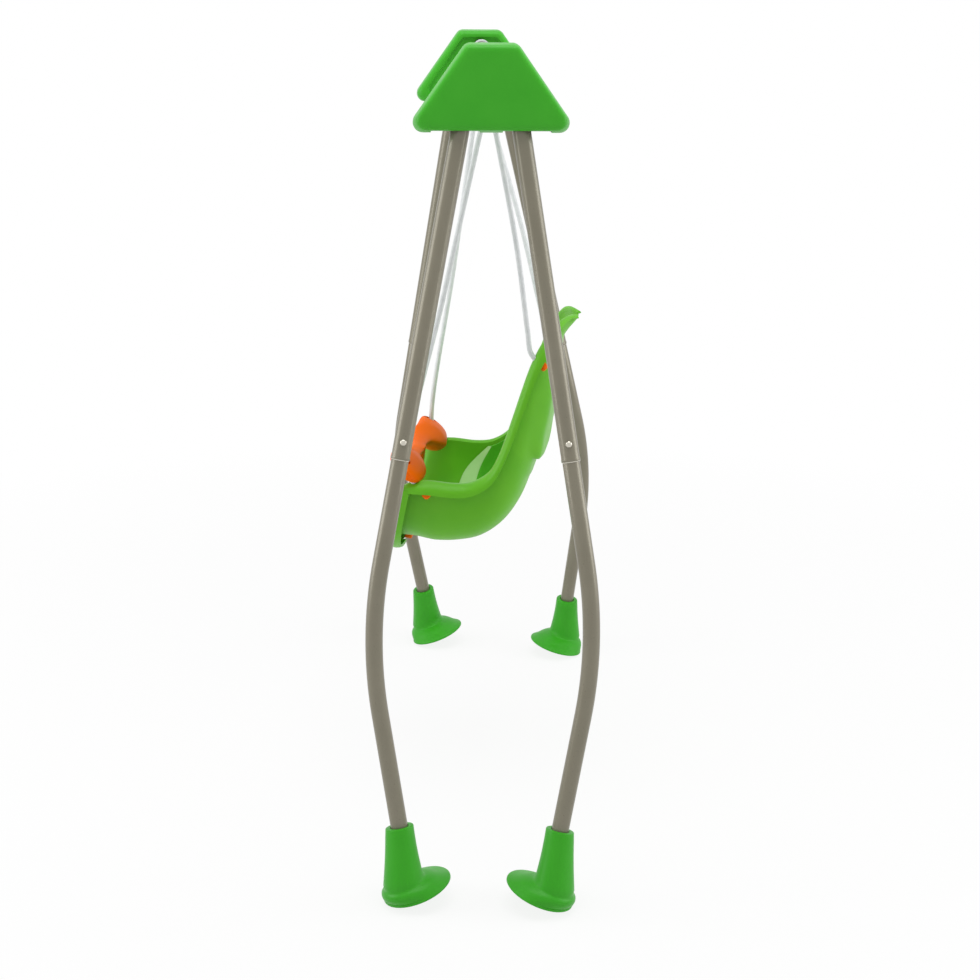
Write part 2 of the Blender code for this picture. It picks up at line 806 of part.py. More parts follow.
POST_TOP = Vector((-0.103, 0.0, 0.138))
POST_HALF_X = 0.0065
POST_HALF_Y = 0.011
POST_TIP_Z = -0.016
EYE = Vector((-0.106, 0.138, 0.147))


def post_box(name, grow, tip_z):
    """The square post of the safety bar, or the hole for it when grown."""
    way = slide_way()
    length = (POST_TOP.z - tip_z) / way.z
    low = (-POST_HALF_X - grow, -POST_HALF_Y - grow, -length)
    high = (POST_HALF_X + grow, POST_HALF_Y + grow, 0.004)
    post = box(name, low, high)
    turn = Matrix.Rotation(SAFETY_BAR_TILT, 4, "Y")
    post.data.transform(Matrix.Translation(POST_TOP) @ turn)
    return post


def make_safety_bar(parent):
    """The arms are a loft across the seat, and the post comes down from their middle."""
    # (Y, X, Z, half width along X, half thickness, tilt) from the middle out
    sections = [
        (0.000, -0.103, 0.138, 0.0110, 0.0085, 4),
        (0.028, -0.104, 0.139, 0.0110, 0.0085, 6),
        (0.055, -0.105, 0.144, 0.0140, 0.0100, 12),
        (0.078, -0.104, 0.146, 0.0230, 0.0150, 22),
        (0.098, -0.103, 0.144, 0.0300, 0.0195, 28),
        (0.116, -0.103, 0.146, 0.0305, 0.0165, 28),
        (0.136, -0.104, 0.1505, 0.0290, 0.0115, 25),
        (0.153, -0.105, 0.149, 0.0240, 0.0100, 25),
        (0.161, -0.105, 0.147, 0.0150, 0.0060, 25),
    ]
    spans = [(-y, *rest) for y, *rest in reversed(sections[1:])] + sections
    bm = bmesh.new()
    rings = []
    for y, x, z, half_x, half_z, tilt in spans:
        ring = []
        for i in range(14):
            a = 2 * pi * i / 14
            px, pz = half_x * cos(a), half_z * sin(a)
            t = radians(tilt)
            ring.append(bm.verts.new((x + px * cos(t) + pz * sin(t), y, z - px * sin(t) + pz * cos(t))))
        rings.append(ring)
    join_rings(bm, rings, closed=True)
    bm.faces.new(rings[0])
    bm.faces.new(rings[-1])
    bar = add(mesh_object("safety_bar", bm), parent, BAR_ORANGE)
    post = cutter(post_box("safety_bar_post", 0.0, POST_TIP_Z), parent)
    cut(bar, post, "UNION")
    for end_name, end in ENDS.items():
        eye = cutter(
            cylinder(f"{end_name}_eye", (0, 0, -0.06), (0, 0, 0.06), 0.0125, 16),
            parent,
        )
        eye.location = (EYE.x + 0.003, end * (EYE.y + 0.002), EYE.z)
        eye.scale.x = 1.32
        eye.scale.y = 1.1
        cut(bar, eye)
    smooth(bar, 40)
    return bar


def make_liner(parent):
    """The pale insert that lines the back half of the bucket, its front edge leaning back up the sides."""
    bm = bmesh.new()
    rows = []
    for i in range(10):
        share = i / 9
        place = 3.6 + (12.4 - 3.6) * share
        row = bucket_row(place, inset=SEAT_WALL + 0.0028, lean=1.9 * (1 - share) ** 2, reach=0.95)
        rows.append([bm.verts.new(point) for point in row])
    join_rings(bm, rows, closed=False)
    liner = add(mesh_object("back_liner", bm), parent, LINER_LIME)
    base, rim, _ = seat_station(8)
    middle = base.lerp(rim, 0.5)
    face_away(liner, (middle.x, 0.0, middle.y), len(liner.data.polygons) // 2)
    wall = give_wall(liner, LINER_WALL)
    wall.use_even_offset = True
    wall.use_quality_normals = False
    smooth(liner, 50)
    return liner


def make_hanger(end_name, parent):
    """A link in X and Z: a ring on the top bar, a stem, and the block that grips two ropes."""
    end = ENDS[end_name]
    stem = 0.0055
    bottom = -HANGER_DROP
    outline = []
    open_angle = asin(stem / HANGER_RING_R)
    for i in range(21):
        a = -pi / 2 + open_angle + (2 * pi - 2 * open_angle) * i / 20
        outline.append((HANGER_RING_R * cos(a), HANGER_RING_R * sin(a)))
    outline += [
        (-stem, bottom + CLAMP_HEIGHT + 0.006),
        (-CLAMP_HALF_WIDTH, bottom + CLAMP_HEIGHT - 0.004),
        (-CLAMP_HALF_WIDTH, bottom),
        (CLAMP_HALF_WIDTH, bottom),
        (CLAMP_HALF_WIDTH, bottom + CLAMP_HEIGHT - 0.004),
        (stem, bottom + CLAMP_HEIGHT + 0.006),
    ]
    hanger = flat_plate(
        f"{end_name}_hanger", outline, [(0.0, 0.0, TOP_BAR_D / 2 + GAP, 24)], HANGER_THICK
    )
    hanger.location.y = end * HANGER_SPREAD
    add(hanger, parent, HANGER_WHITE)
    return hanger


def from_seat(point, y):
    """A point of the seat's own frame, seen from the middle of the top bar."""
    turn = Matrix.Rotation(SEAT_TURN, 3, "Z")
    return turn @ Vector((point.x, y, point.y - SEAT_DROP))


def rope_line(end_name, which):
    """The rope's route from inside its clamp to its stopper, from the middle of the top bar."""
    end = ENDS[end_name]
    hole, y, way = ROPE_HOLES[which]
    hole_top = from_seat(hole - way * 0.010, end * y)
    hole_low = from_seat(hole + way * 0.018, end * y)
    forward = -1 if which == "front" else 1
    top = Vector((forward * (ROPE_D + ROPES_APART) / 2, end * HANGER_SPREAD, -HANGER_DROP))
    if which == "front":
        through = from_seat(Vector((EYE.x, EYE.z)), end * EYE.y)
        knots = [top, top.lerp(through, 0.5), through, hole_top, hole_low]
        start_way = (through - top).normalized()
    else:
        middle = top.lerp(hole_top, 0.55) + Vector((0.004, 0.0, 0.0))
        knots = [top, middle, top.lerp(hole_top, 0.90), hole_top, hole_low]
        start_way = (middle - top).normalized()
    knots[0] = top - start_way * ROPE_IN_CLAMP
    return smooth_line(knots, ROPE_POINTS)


def smooth_line(knots, count):
    """Evenly spread points of a smooth curve through the knots."""
    points = [2 * knots[0] - knots[1], *knots, 2 * knots[-1] - knots[-2]]
    fine = []
    for p0, p1, p2, p3 in zip(points, points[1:], points[2:], points[3:]):
        # Centripetal spacing keeps the curve from swinging out beside short spans
        t1 = (p1 - p0).length ** 0.5
        t2 = t1 + (p2 - p1).length ** 0.5
        t3 = t2 + (p3 - p2).length ** 0.5
        for i in range(30):
            t = t1 + (t2 - t1) * i / 30
            a1 = p0 * ((t1 - t) / t1) + p1 * (t / t1)
            a2 = p1 * ((t2 - t) / (t2 - t1)) + p2 * ((t - t1) / (t2 - t1))
            a3 = p2 * ((t3 - t) / (t3 - t2)) + p3 * ((t - t2) / (t3 - t2))
            b1 = a1 * ((t2 - t) / t2) + a2 * (t / t2)
            b2 = a2 * ((t3 - t) / (t3 - t1)) + a3 * ((t - t1) / (t3 - t1))
            fine.append(b1 * ((t2 - t) / (t2 - t1)) + b2 * ((t - t1) / (t2 - t1)))
    fine.append(points[-2])
    along = [0.0]
    for a, b in zip(fine, fine[1:]):
        along.append(along[-1] + (b - a).length)
    out = []
    k = 0
    for i in range(count):
        want = along[-1] * i / (count - 1)
        while k < len(fine) - 2 and along[k + 1] < want:
            k += 1
        span = along[k + 1] - along[k]
        out.append(fine[k].lerp(fine[k + 1], (want - along[k]) / span))
    return out


def make_ropes(parent, hangers, shell, bar):
    for end_name, end in ENDS.items():
        for which in ("front", "back"):
            line = rope_line(end_name, which)
            name = f"{which}_{end_name}_rope"
            rope = add(tube_mesh(name, line, ROPE_D / 2, 2), parent, ROPE_WHITE)
            smooth(rope, 60)
            way = (line[1] - line[0]).normalized()
            socket = cutter(
                cylinder(
                    f"{name}_socket", line[0] - way * GAP, line[0] + way * 0.03, ROPE_D / 2 + GAP, 12
                ),
                parent,
            )
            cut(hangers[end_name], socket)
            down = (line[-1] - line[-2]).normalized()
            route = [*line[-8:], line[-1] + down * 0.003]
            way_through = cutter(tube_mesh(f"{name}_way", route, ROPE_D / 2 + 0.0012, 2), parent)
            cut(shell, way_through)
            if which == "front":
                cut(bar, way_through)
            stopper = turned(
                f"{which}_{end_name}_stopper",
                [
                    (GAP, STOPPER_R * 0.7),
                    (0.002, STOPPER_R),
                    (0.009, STOPPER_R),
                    (0.012, STOPPER_R * 0.6),
                ],
                line[-1],
                down,
                16,
            )
            smooth(add(stopper, parent, BAR_ORANGE))


def build():
    make_top_bar()
    for end_name in ENDS:
        make_housing(end_name)
    for side_name in SIDES:
        for end_name in ENDS:
            make_leg(side_name, end_name)
    swing_axis = empty("swing_axis", (0, 0, BAR_Z))
    hangers = {end_name: make_hanger(end_name, swing_axis) for end_name in ENDS}
    seat_turn = empty("seat_turn", (0, 0, -SEAT_DROP), swing_axis)
    seat_turn.rotation_euler.z = SEAT_TURN
    shell = make_seat(seat_turn)
    bar = make_safety_bar(seat_turn)
    make_ropes(swing_axis, hangers, shell, bar)
    liner = make_liner(seat_turn)
    post_hole = cutter(post_box("post_hole", 0.0012, -0.03), seat_turn)
    cut(shell, post_hole)
    return liner


def centre_over_origin():
    """Moves everything so that the middle of its footprint is on the origin."""
    bpy.context.view_layer.update()
    points = []
    for obj in PARTS.objects:
        if obj.type == "MESH":
            points += [obj.matrix_world @ v.co for v in obj.data.vertices]
    middle = Vector((min(p.x for p in points) + max(p.x for p in points), 0.0, 0.0)) / 2
    middle.y = (min(p.y for p in points) + max(p.y for p in points)) / 2
    root = empty("ground_middle", -middle)
    for obj in [*PARTS.objects, *CUTTERS.objects]:
        if obj.parent is None and obj != root:
            obj.parent = root
    bpy.context.view_layer.update()
    print("moved by", [round(x, 5) for x in root.location])


build()
centre_over_origin()
print("pivots at", round(PIVOT_Z, 4), "top bar at", round(BAR_Z, 4))
for (side_name, end_name), fold in FOLD_AT_REST.items():
    print(side_name, end_name, "splay", round(degrees(splay_to_stand(fold)), 2))
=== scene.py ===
"""A toddler's swing on its part-folded steel frame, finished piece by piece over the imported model.

Metres, +Z up. The swing faces -X and the top bar lies along Y. A leg is front or rear, and left or
right as the child would say it, so left is -Y and nearer to the camera.
"""

import json
from math import asin, atan2, cos, floor, pi, radians, sin, tan

import bmesh
import bpy
from mathutils import Matrix, Vector
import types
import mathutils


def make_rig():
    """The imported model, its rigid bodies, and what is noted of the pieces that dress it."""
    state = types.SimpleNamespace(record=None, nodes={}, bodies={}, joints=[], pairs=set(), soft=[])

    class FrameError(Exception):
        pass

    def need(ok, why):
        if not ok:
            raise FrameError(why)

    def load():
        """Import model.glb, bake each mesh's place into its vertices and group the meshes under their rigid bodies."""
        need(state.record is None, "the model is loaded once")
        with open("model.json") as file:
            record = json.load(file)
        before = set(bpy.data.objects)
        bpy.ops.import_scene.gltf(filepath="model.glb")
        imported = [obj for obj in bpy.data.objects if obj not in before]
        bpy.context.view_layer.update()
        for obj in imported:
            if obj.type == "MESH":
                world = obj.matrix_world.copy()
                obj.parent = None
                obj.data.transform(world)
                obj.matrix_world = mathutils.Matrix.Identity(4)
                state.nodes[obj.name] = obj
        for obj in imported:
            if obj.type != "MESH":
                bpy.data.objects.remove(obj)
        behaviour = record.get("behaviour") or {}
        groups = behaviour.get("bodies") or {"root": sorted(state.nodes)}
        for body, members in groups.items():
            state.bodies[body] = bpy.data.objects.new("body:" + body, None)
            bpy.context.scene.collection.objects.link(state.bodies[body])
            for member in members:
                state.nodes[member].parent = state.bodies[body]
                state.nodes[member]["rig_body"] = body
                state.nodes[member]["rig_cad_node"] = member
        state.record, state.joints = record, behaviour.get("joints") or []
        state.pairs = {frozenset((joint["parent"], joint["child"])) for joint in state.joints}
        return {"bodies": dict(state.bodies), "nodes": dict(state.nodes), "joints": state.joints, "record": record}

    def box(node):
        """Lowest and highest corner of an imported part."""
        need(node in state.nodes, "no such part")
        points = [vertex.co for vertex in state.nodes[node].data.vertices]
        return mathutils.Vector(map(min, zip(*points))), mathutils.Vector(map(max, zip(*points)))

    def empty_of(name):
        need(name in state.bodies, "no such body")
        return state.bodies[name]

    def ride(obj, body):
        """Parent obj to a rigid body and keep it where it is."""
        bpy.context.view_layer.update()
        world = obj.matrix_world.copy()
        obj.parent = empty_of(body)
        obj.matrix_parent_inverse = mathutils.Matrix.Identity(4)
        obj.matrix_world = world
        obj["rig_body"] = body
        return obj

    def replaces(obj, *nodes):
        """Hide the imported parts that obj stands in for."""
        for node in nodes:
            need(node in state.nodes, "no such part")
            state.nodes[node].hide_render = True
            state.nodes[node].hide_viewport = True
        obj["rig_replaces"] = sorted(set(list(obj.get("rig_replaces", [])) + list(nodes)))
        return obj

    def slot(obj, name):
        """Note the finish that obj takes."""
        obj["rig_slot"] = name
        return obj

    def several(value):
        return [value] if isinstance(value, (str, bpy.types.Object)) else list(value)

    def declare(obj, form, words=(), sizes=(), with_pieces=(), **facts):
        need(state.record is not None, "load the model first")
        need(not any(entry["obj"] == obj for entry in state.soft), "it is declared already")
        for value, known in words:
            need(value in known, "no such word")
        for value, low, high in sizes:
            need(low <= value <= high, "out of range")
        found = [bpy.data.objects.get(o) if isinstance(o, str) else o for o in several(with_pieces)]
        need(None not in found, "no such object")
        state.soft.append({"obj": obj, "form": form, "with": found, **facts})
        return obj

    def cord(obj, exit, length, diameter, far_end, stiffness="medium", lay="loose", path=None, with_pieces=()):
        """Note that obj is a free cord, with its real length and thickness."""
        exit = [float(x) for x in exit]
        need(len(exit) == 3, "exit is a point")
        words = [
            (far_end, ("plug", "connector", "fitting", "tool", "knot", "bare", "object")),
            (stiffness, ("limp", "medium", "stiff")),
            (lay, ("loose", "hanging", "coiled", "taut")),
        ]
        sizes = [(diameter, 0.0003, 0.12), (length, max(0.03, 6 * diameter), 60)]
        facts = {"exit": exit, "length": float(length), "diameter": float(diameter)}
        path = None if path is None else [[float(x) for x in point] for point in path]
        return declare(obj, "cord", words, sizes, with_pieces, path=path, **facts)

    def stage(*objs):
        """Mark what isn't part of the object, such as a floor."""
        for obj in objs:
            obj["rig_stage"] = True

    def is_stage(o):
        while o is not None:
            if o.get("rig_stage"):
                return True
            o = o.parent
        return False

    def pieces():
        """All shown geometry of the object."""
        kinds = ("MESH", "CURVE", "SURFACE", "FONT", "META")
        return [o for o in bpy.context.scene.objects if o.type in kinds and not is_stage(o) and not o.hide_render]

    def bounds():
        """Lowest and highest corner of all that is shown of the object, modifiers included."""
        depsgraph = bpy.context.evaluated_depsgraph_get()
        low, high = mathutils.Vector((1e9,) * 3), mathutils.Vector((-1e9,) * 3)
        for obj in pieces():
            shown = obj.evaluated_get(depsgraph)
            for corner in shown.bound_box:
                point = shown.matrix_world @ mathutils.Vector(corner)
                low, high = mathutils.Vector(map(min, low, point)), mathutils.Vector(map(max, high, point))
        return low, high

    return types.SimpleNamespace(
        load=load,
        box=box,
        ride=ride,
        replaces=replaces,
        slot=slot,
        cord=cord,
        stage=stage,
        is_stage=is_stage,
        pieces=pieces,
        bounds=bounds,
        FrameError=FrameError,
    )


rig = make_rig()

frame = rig.load()
cad_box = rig.bounds()
hinges = {joint["name"]: joint for joint in frame["joints"]}

# Camera
# The picture is taken from nearly 3 m off the left end, a little above the top bar, with a long
# lens. Its place, turn and lens come from fitting the feet, housings and leg joints of the photo.
camera_place = Vector((-0.0989, -2.9054, 1.2897))
yaw, pitch, roll = 0.0319, 0.2749, 0.0067


def in_scene(name, data):
    """A new object in the scene, made of the data given."""
    thing = bpy.data.objects.new(name, data)
    bpy.context.scene.collection.objects.link(thing)
    return thing


lens = bpy.data.cameras.new("camera")
lens.lens = 66.64
lens.sensor_width = 36.0
camera = in_scene("camera", lens)
ahead = Vector((sin(yaw) * cos(pitch), cos(yaw) * cos(pitch), -sin(pitch)))
level = Vector((cos(yaw), -sin(yaw), 0.0))
upward = Vector((sin(yaw) * sin(pitch), cos(yaw) * sin(pitch), cos(pitch)))
right_hand = level * cos(roll) + upward * sin(roll)
overhead = upward * cos(roll) - level * sin(roll)
camera.matrix_world = (
    Matrix.Translation(camera_place) @ Matrix((right_hand, overhead, -ahead)).transposed().to_4x4()
)
bpy.context.scene.camera = camera
bpy.context.scene.view_settings.view_transform = "Standard"

# Ropes
# Four plaited white ropes of 8 mm, two in front and two behind. Each is clamped in a white link on
# the top bar, runs down through the seat's rim and ends in an orange stopper under it.
rope_d = 0.008
rope_points = 34
rope_in_clamp = 0.010
rope_half_gap = 0.0062
back_rope_bow = 0.004
above_hole = 0.004
swing_axis = Vector(hinges["swing_turn"]["pos_m"])
seat_drop = 0.778
seat_turn = radians(-8.5)
seat_place = Matrix.Translation(swing_axis - Vector((0, 0, seat_drop))) @ Matrix.Rotation(seat_turn, 4, "Z")
hanger_spread = 0.200
hanger_drop = 0.080
rim_half_width = 0.136
rim_roll = 0.020
# Where a front rope runs through the safety bar, from the seat's lowest point
eye = Vector((-0.106, 0.138, 0.147))
# For each pair: X and height of the hole in the rim, its Y, the way that the rope runs down through
# it, and how far it runs on from there
rope_holes = {
    "front": ((-0.0940, 0.1210), rim_half_width + rim_roll * 0.45, (0.70, -0.71), 0.025),
    "back": ((0.0930, 0.3240), rim_half_width - 0.025 + rim_roll * 0.55, (0.70, -0.71), 0.017),
}


def smooth_line(knots, count, fineness=30):
    """Evenly spread points of a smooth curve through the knots."""
    points = [2 * knots[0] - knots[1], *knots, 2 * knots[-1] - knots[-2]]
    fine = []
    for p0, p1, p2, p3 in zip(points, points[1:], points[2:], points[3:]):
        t1 = (p1 - p0).length ** 0.5
        t2 = t1 + (p2 - p1).length ** 0.5
        t3 = t2 + (p3 - p2).length ** 0.5
        for i in range(fineness):
            t = t1 + (t2 - t1) * i / fineness
            a1 = p0 * ((t1 - t) / t1) + p1 * (t / t1)
            a2 = p1 * ((t2 - t) / (t2 - t1)) + p2 * ((t - t1) / (t2 - t1))
            a3 = p2 * ((t3 - t) / (t3 - t2)) + p3 * ((t - t2) / (t3 - t2))
            b1 = a1 * ((t2 - t) / t2) + a2 * (t / t2)
            b2 = a2 * ((t3 - t) / (t3 - t1)) + a3 * ((t - t1) / (t3 - t1))
            fine.append(b1 * ((t2 - t) / (t2 - t1)) + b2 * ((t - t1) / (t2 - t1)))
    fine.append(points[-2])
    along = [0.0]
    for a, b in zip(fine, fine[1:]):
        along.append(along[-1] + (b - a).length)
    out = []
    k = 0
    for i in range(count):
        want = along[-1] * i / (count - 1)
        while k < len(fine) - 2 and along[k + 1] < want:
            k += 1
        out.append(fine[k].lerp(fine[k + 1], (want - along[k]) / (along[k + 1] - along[k])))
    return out


def length_of(line):
    return sum((b - a).length for a, b in zip(line, line[1:]))


def rope_knots(end, which):
    """The rope's own points, from inside its clamp to its stopper."""
    (hole_x, hole_z), y, (way_x, way_z), past = rope_holes[which]

    def through_rim(step):
        return seat_place @ Vector((hole_x + way_x * step, end * y, hole_z + way_z * step))

    hole_top, hole_low = through_rim(-above_hole), through_rim(past)
    forward = -1 if which == "front" else 1
    top = swing_axis + Vector((forward * rope_half_gap, end * hanger_spread, -hanger_drop))
    if which == "front":
        through = seat_place @ Vector((eye.x, end * eye.y, eye.z))
        between_ends = [top.lerp(through, 0.5), through]
    else:
        bow = Vector((back_rope_bow, 0.0, 0.0))
        between_ends = [top.lerp(hole_top, 0.55) + bow, top.lerp(hole_top, 0.90)]
    in_clamp = top - (between_ends[0] - top).normalized() * rope_in_clamp
    return [in_clamp, *between_ends, hole_top, hole_low]


def square_to(way):
    """Two directions square to a way and to each other."""
    first = way.orthogonal().normalized()
    return first, way.cross(first).normalized()


def framed(centres):
    """Each point of a line with two directions square to it, which turn as little as they can."""
    first = None
    last = len(centres) - 1
    for i, centre in enumerate(centres):
        way = (centres[min(i + 1, last)] - centres[max(i - 1, 0)]).normalized()
        first = square_to(way)[0] if first is None else (first - way * first.dot(way)).normalized()
        yield centre, first, way.cross(first)


def skinned(rows, closed=True, around=False):
    """A mesh over rows of points, each closed or open, and perhaps joined round to the first row."""
    skin = bmesh.new()
    loops = [[skin.verts.new(point) for point in row] for row in rows]
    if around:
        loops.append(loops[0])
    for near, far in zip(loops, loops[1:]):
        for i in range(len(near) if closed else len(near) - 1):
            j = (i + 1) % len(near)
            skin.faces.new((near[i], near[j], far[j], far[i]))
    return skin, loops


def loft(name, rings, around=False):
    """A skin over rings of as many points each, with flat ends, or joined round to its first ring."""
    skin, loops = skinned(rings, around=around)
    if not around:
        skin.faces.new(loops[0])
        skin.faces.new(loops[-1])
    return made(name, skin)


def made(name, skin):
    """Turns a worked mesh into an object, with its faces pointing out."""
    bmesh.ops.recalc_face_normals(skin, faces=skin.faces)
    mesh = bpy.data.meshes.new(name)
    skin.to_mesh(mesh)
    skin.free()
    return in_scene(name, mesh)


def plaited(name, line, radius, strands=8, sides=32, step=0.0008):
    """A rope of crossing strands, each passing over one and under the next."""
    count = int(length_of(line) / step)
    cell = 2 * pi * radius / strands
    rings = []
    for i, (centre, first, second) in enumerate(framed(smooth_line(line, count, 60))):
        ring = []
        for k in range(sides):
            a = 2 * pi * k / sides
            right_lay = strands * a / (2 * pi) + i * step / cell
            left_lay = strands * a / (2 * pi) - i * step / cell
            over = (floor(right_lay) + floor(left_lay)) % 2 == 0
            across, along = (right_lay % 1, left_lay % 1) if over else (left_lay % 1, right_lay % 1)
            crown = sin(pi * across) ** 0.6 * (1 - 0.35 * (2 * along - 1) ** 2)
            ring.append(centre + (first * cos(a) + second * sin(a)) * radius * (0.90 + 0.12 * crown))
        rings.append(ring)
    return loft(name, rings)


def feed(node, inputs):
    """Sets a shader node's inputs by name, and links those that are given as another node's output."""
    for key, value in inputs.items():
        if isinstance(value, bpy.types.NodeSocket):
            node.id_data.links.new(value, node.inputs[key])
        else:
            node.inputs[key].default_value = value


def shader_tree(tree):
    """A function that adds a node to the tree by its type, inputs and settings."""

    def place(kind, inputs=None, **settings):
        node = tree.nodes.new(kind)
        for key, value in settings.items():
            setattr(node, key, value)
        feed(node, inputs or {})
        return node

    return place


def effect(name, inputs, outputs):
    """An empty shader effect with named number inputs and outputs, for several materials to share."""
    group = bpy.data.node_groups.new(name, "ShaderNodeTree")
    for label, value in inputs.items():
        socket = group.interface.new_socket(label, in_out="INPUT", socket_type="NodeSocketFloat")
        socket.default_value = value
    for label in outputs:
        group.interface.new_socket(label, in_out="OUTPUT", socket_type="NodeSocketFloat")
    return group, shader_tree(group), group.nodes.new("NodeGroupInput"), group.nodes.new("NodeGroupOutput")


def maths(add, operation, first, second):
    return add("ShaderNodeMath", {0: first, 1: second}, operation=operation).outputs[0]


def ranged(add, value, low, high, to_low, to_high):
    span = {"Value": value, "From Min": low, "From Max": high, "To Min": to_low, "To Max": to_high}
    return add("ShaderNodeMapRange", span).outputs["Result"]


# Slow drifts of tone over a surface, and the fine grain on it
usual_sizes = {"Patch Size": 0.05, "Grain Size": 0.001}
drift, add, given, result = effect("tone_and_grain", usual_sizes, ("Tone", "Grain"))
spot = add("ShaderNodeTexCoord").outputs["Object"]
patches = maths(add, "DIVIDE", 1.0, given.outputs["Patch Size"])
tone = add("ShaderNodeTexNoise", {"Vector": spot, "Scale": patches, "Detail": 3.0})
grains = maths(add, "DIVIDE", 1.0, given.outputs["Grain Size"])
grain = add("ShaderNodeTexNoise", {"Vector": spot, "Scale": grains, "Detail": 4.0, "Roughness": 0.6})
feed(result, {"Tone": tone.outputs["Fac"], "Grain": grain.outputs["Fac"]})


def surface(name, dark, light, patch, grain, relief, rough=None, settings=None):
    """A material that drifts from dark to light in patches, with a fine grain in relief.

    Its relief is a strength and a depth. Where its roughness changes too, rough says by which mask,
    between which values of it, and from how smooth to how dull.
    """
    material = bpy.data.materials.new(name)
    material.use_nodes = True
    add = shader_tree(material.node_tree)
    masks = add("ShaderNodeGroup", {"Patch Size": patch, "Grain Size": grain}, node_tree=drift).outputs
    colours = {"Factor": masks["Tone"], "A": (*dark, 1.0), "B": (*light, 1.0)}
    colour = add("ShaderNodeMix", colours, data_type="RGBA").outputs["Result"]
    strength, depth = relief
    bump = add("ShaderNodeBump", {"Height": masks["Grain"], "Strength": strength, "Distance": depth})
    inputs = {"Base Color": colour, "Normal": bump.outputs["Normal"], **(settings or {})}
    if rough:
        inputs["Roughness"] = ranged(add, masks[rough[0]], *rough[1:])
    feed(material.node_tree.nodes["Principled BSDF"], inputs)
    return material


def shade(piece, angle):
    piece.data.shade_smooth()
    piece.data.set_sharp_from_angle(angle=radians(angle))


def finish(piece, material, slot, body, node, angle):
    """Shades a piece, gives it its material and finish, and sets it on its body in place of its node."""
    shade(piece, angle)
    piece.data.materials.clear()
    piece.data.materials.append(material)
    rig.slot(piece, slot)
    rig.ride(piece, body)
    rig.replaces(piece, node)


ends = {"left": -1, "right": 1}
sides = {"front": -1, "rear": 1}
# White spun yarn: fine fibres, a little grey in the gaps and quite matt
yarn = surface(
    "rope_yarn",
    (0.66, 0.69, 0.70),
    (0.86, 0.88, 0.88),
    patch=0.010,
    grain=0.0006,
    relief=(0.5, 0.0003),
    settings={"Roughness": 0.85, "Sheen Weight": 0.25},
)
rope_lines = {}
for end_name, end in ends.items():
    for which in ("front", "back"):
        line = smooth_line(rope_knots(end, which), rope_points)
        rope_lines[which, end_name] = line
        rope = plaited(f"{which}_{end_name}_plaited_rope", line, rope_d / 2)
        finish(rope, yarn, "rope_white", "swing", f"{which}_{end_name}_rope", angle=80)
        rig.cord(
            rope,
            exit=line[0],
            length=round(length_of(line), 3),
            diameter=rope_d,
            far_end="object",
            stiffness="limp",
            lay="taut",
            path=line,
        )

# Floor and lamps
# A white sweep under the swing, lit by a broad soft lamp on each side, one overhead and a white
# room round them. Whatever looks at the floor directly or in a reflection sees it almost white.
floor_reach = 60.0
# The floor is less white up to the near distance from the middle, and all white from the far one
whiteness_near = 0.86
near_floor = 0.7
far_floor = 2.2
room_light = 0.50
white = (1.0, 1.0, 1.0, 1.0)


def seen_straight(add):
    """Whether a thing is seen by the camera, in a gloss or through something clear."""
    looks = add("ShaderNodeLightPath").outputs
    either = maths(add, "MAXIMUM", looks["Is Camera Ray"], looks["Is Glossy Ray"])
    return maths(add, "MAXIMUM", either, looks["Is Transmission Ray"])


floor_skin = bmesh.new()
bmesh.ops.create_grid(floor_skin, x_segments=1, y_segments=1, size=floor_reach)
ground = made("studio_floor", floor_skin)
white_floor = bpy.data.materials.new("white_floor")
white_floor.use_nodes = True
add = shader_tree(white_floor.node_tree)
floor_nodes = white_floor.node_tree.nodes
floor_shader = floor_nodes["Principled BSDF"]
feed(floor_shader, {"Base Color": (0.88, 0.88, 0.88, 1.0), "Roughness": 0.9})
spot = add("ShaderNodeTexCoord").outputs["Object"]
far_off = add("ShaderNodeVectorMath", {0: spot}, operation="LENGTH").outputs["Value"]
whiteness = ranged(add, far_off, near_floor, far_floor, whiteness_near, 1.0)
share = maths(add, "MULTIPLY", seen_straight(add), whiteness)
bright = add("ShaderNodeEmission", {"Color": white, "Strength": 1.0})
cover = add("ShaderNodeMixShader", {0: share, 1: floor_shader.outputs[0], 2: bright.outputs[0]})
feed(floor_nodes["Material Output"], {"Surface": cover.outputs[0]})
ground.data.materials.append(white_floor)
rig.stage(ground)

room = bpy.data.worlds.new("white_room")
room.use_nodes = True
bpy.context.scene.world = room
add = shader_tree(room.node_tree)
strength = ranged(add, seen_straight(add), 0.0, 1.0, room_light, 1.0)
feed(room.node_tree.nodes["Background"], {"Color": white, "Strength": strength})

# Each lamp's name, place, the height that it is aimed at, its width and its power
lamps = [
    ("left_lamp", (-2.9, -0.3, 1.3), 0.7, 1.8, 30),
    ("right_lamp", (2.9, -0.3, 1.3), 0.7, 1.8, 30),
    ("top_lamp", (0.0, -0.5, 3.4), 0.6, 2.4, 48),
]
for name, place, aim, size, power in lamps:
    lamp = bpy.data.lights.new(name, "AREA")
    lamp.shape = "SQUARE"
    lamp.size = size
    lamp.energy = power
    holder = in_scene(name, lamp)
    holder.location = place
    holder.rotation_euler = (Vector((0, 0, aim)) - Vector(place)).to_track_quat("-Z", "Y").to_euler()

# Top bar
# A straight steel tube of 22 mm, powder coated like the legs. Its ends are held in the pivot plates
# inside the two housings, and the swing's white links turn round it.
top_bar_r = 0.011
top_bar_wall = 0.0015
ease = 0.0005


def circle(centre, first, second, radius, facets):
    angles = [2 * pi * k / facets for k in range(facets)]
    return [centre + (first * cos(a) + second * sin(a)) * radius for a in angles]


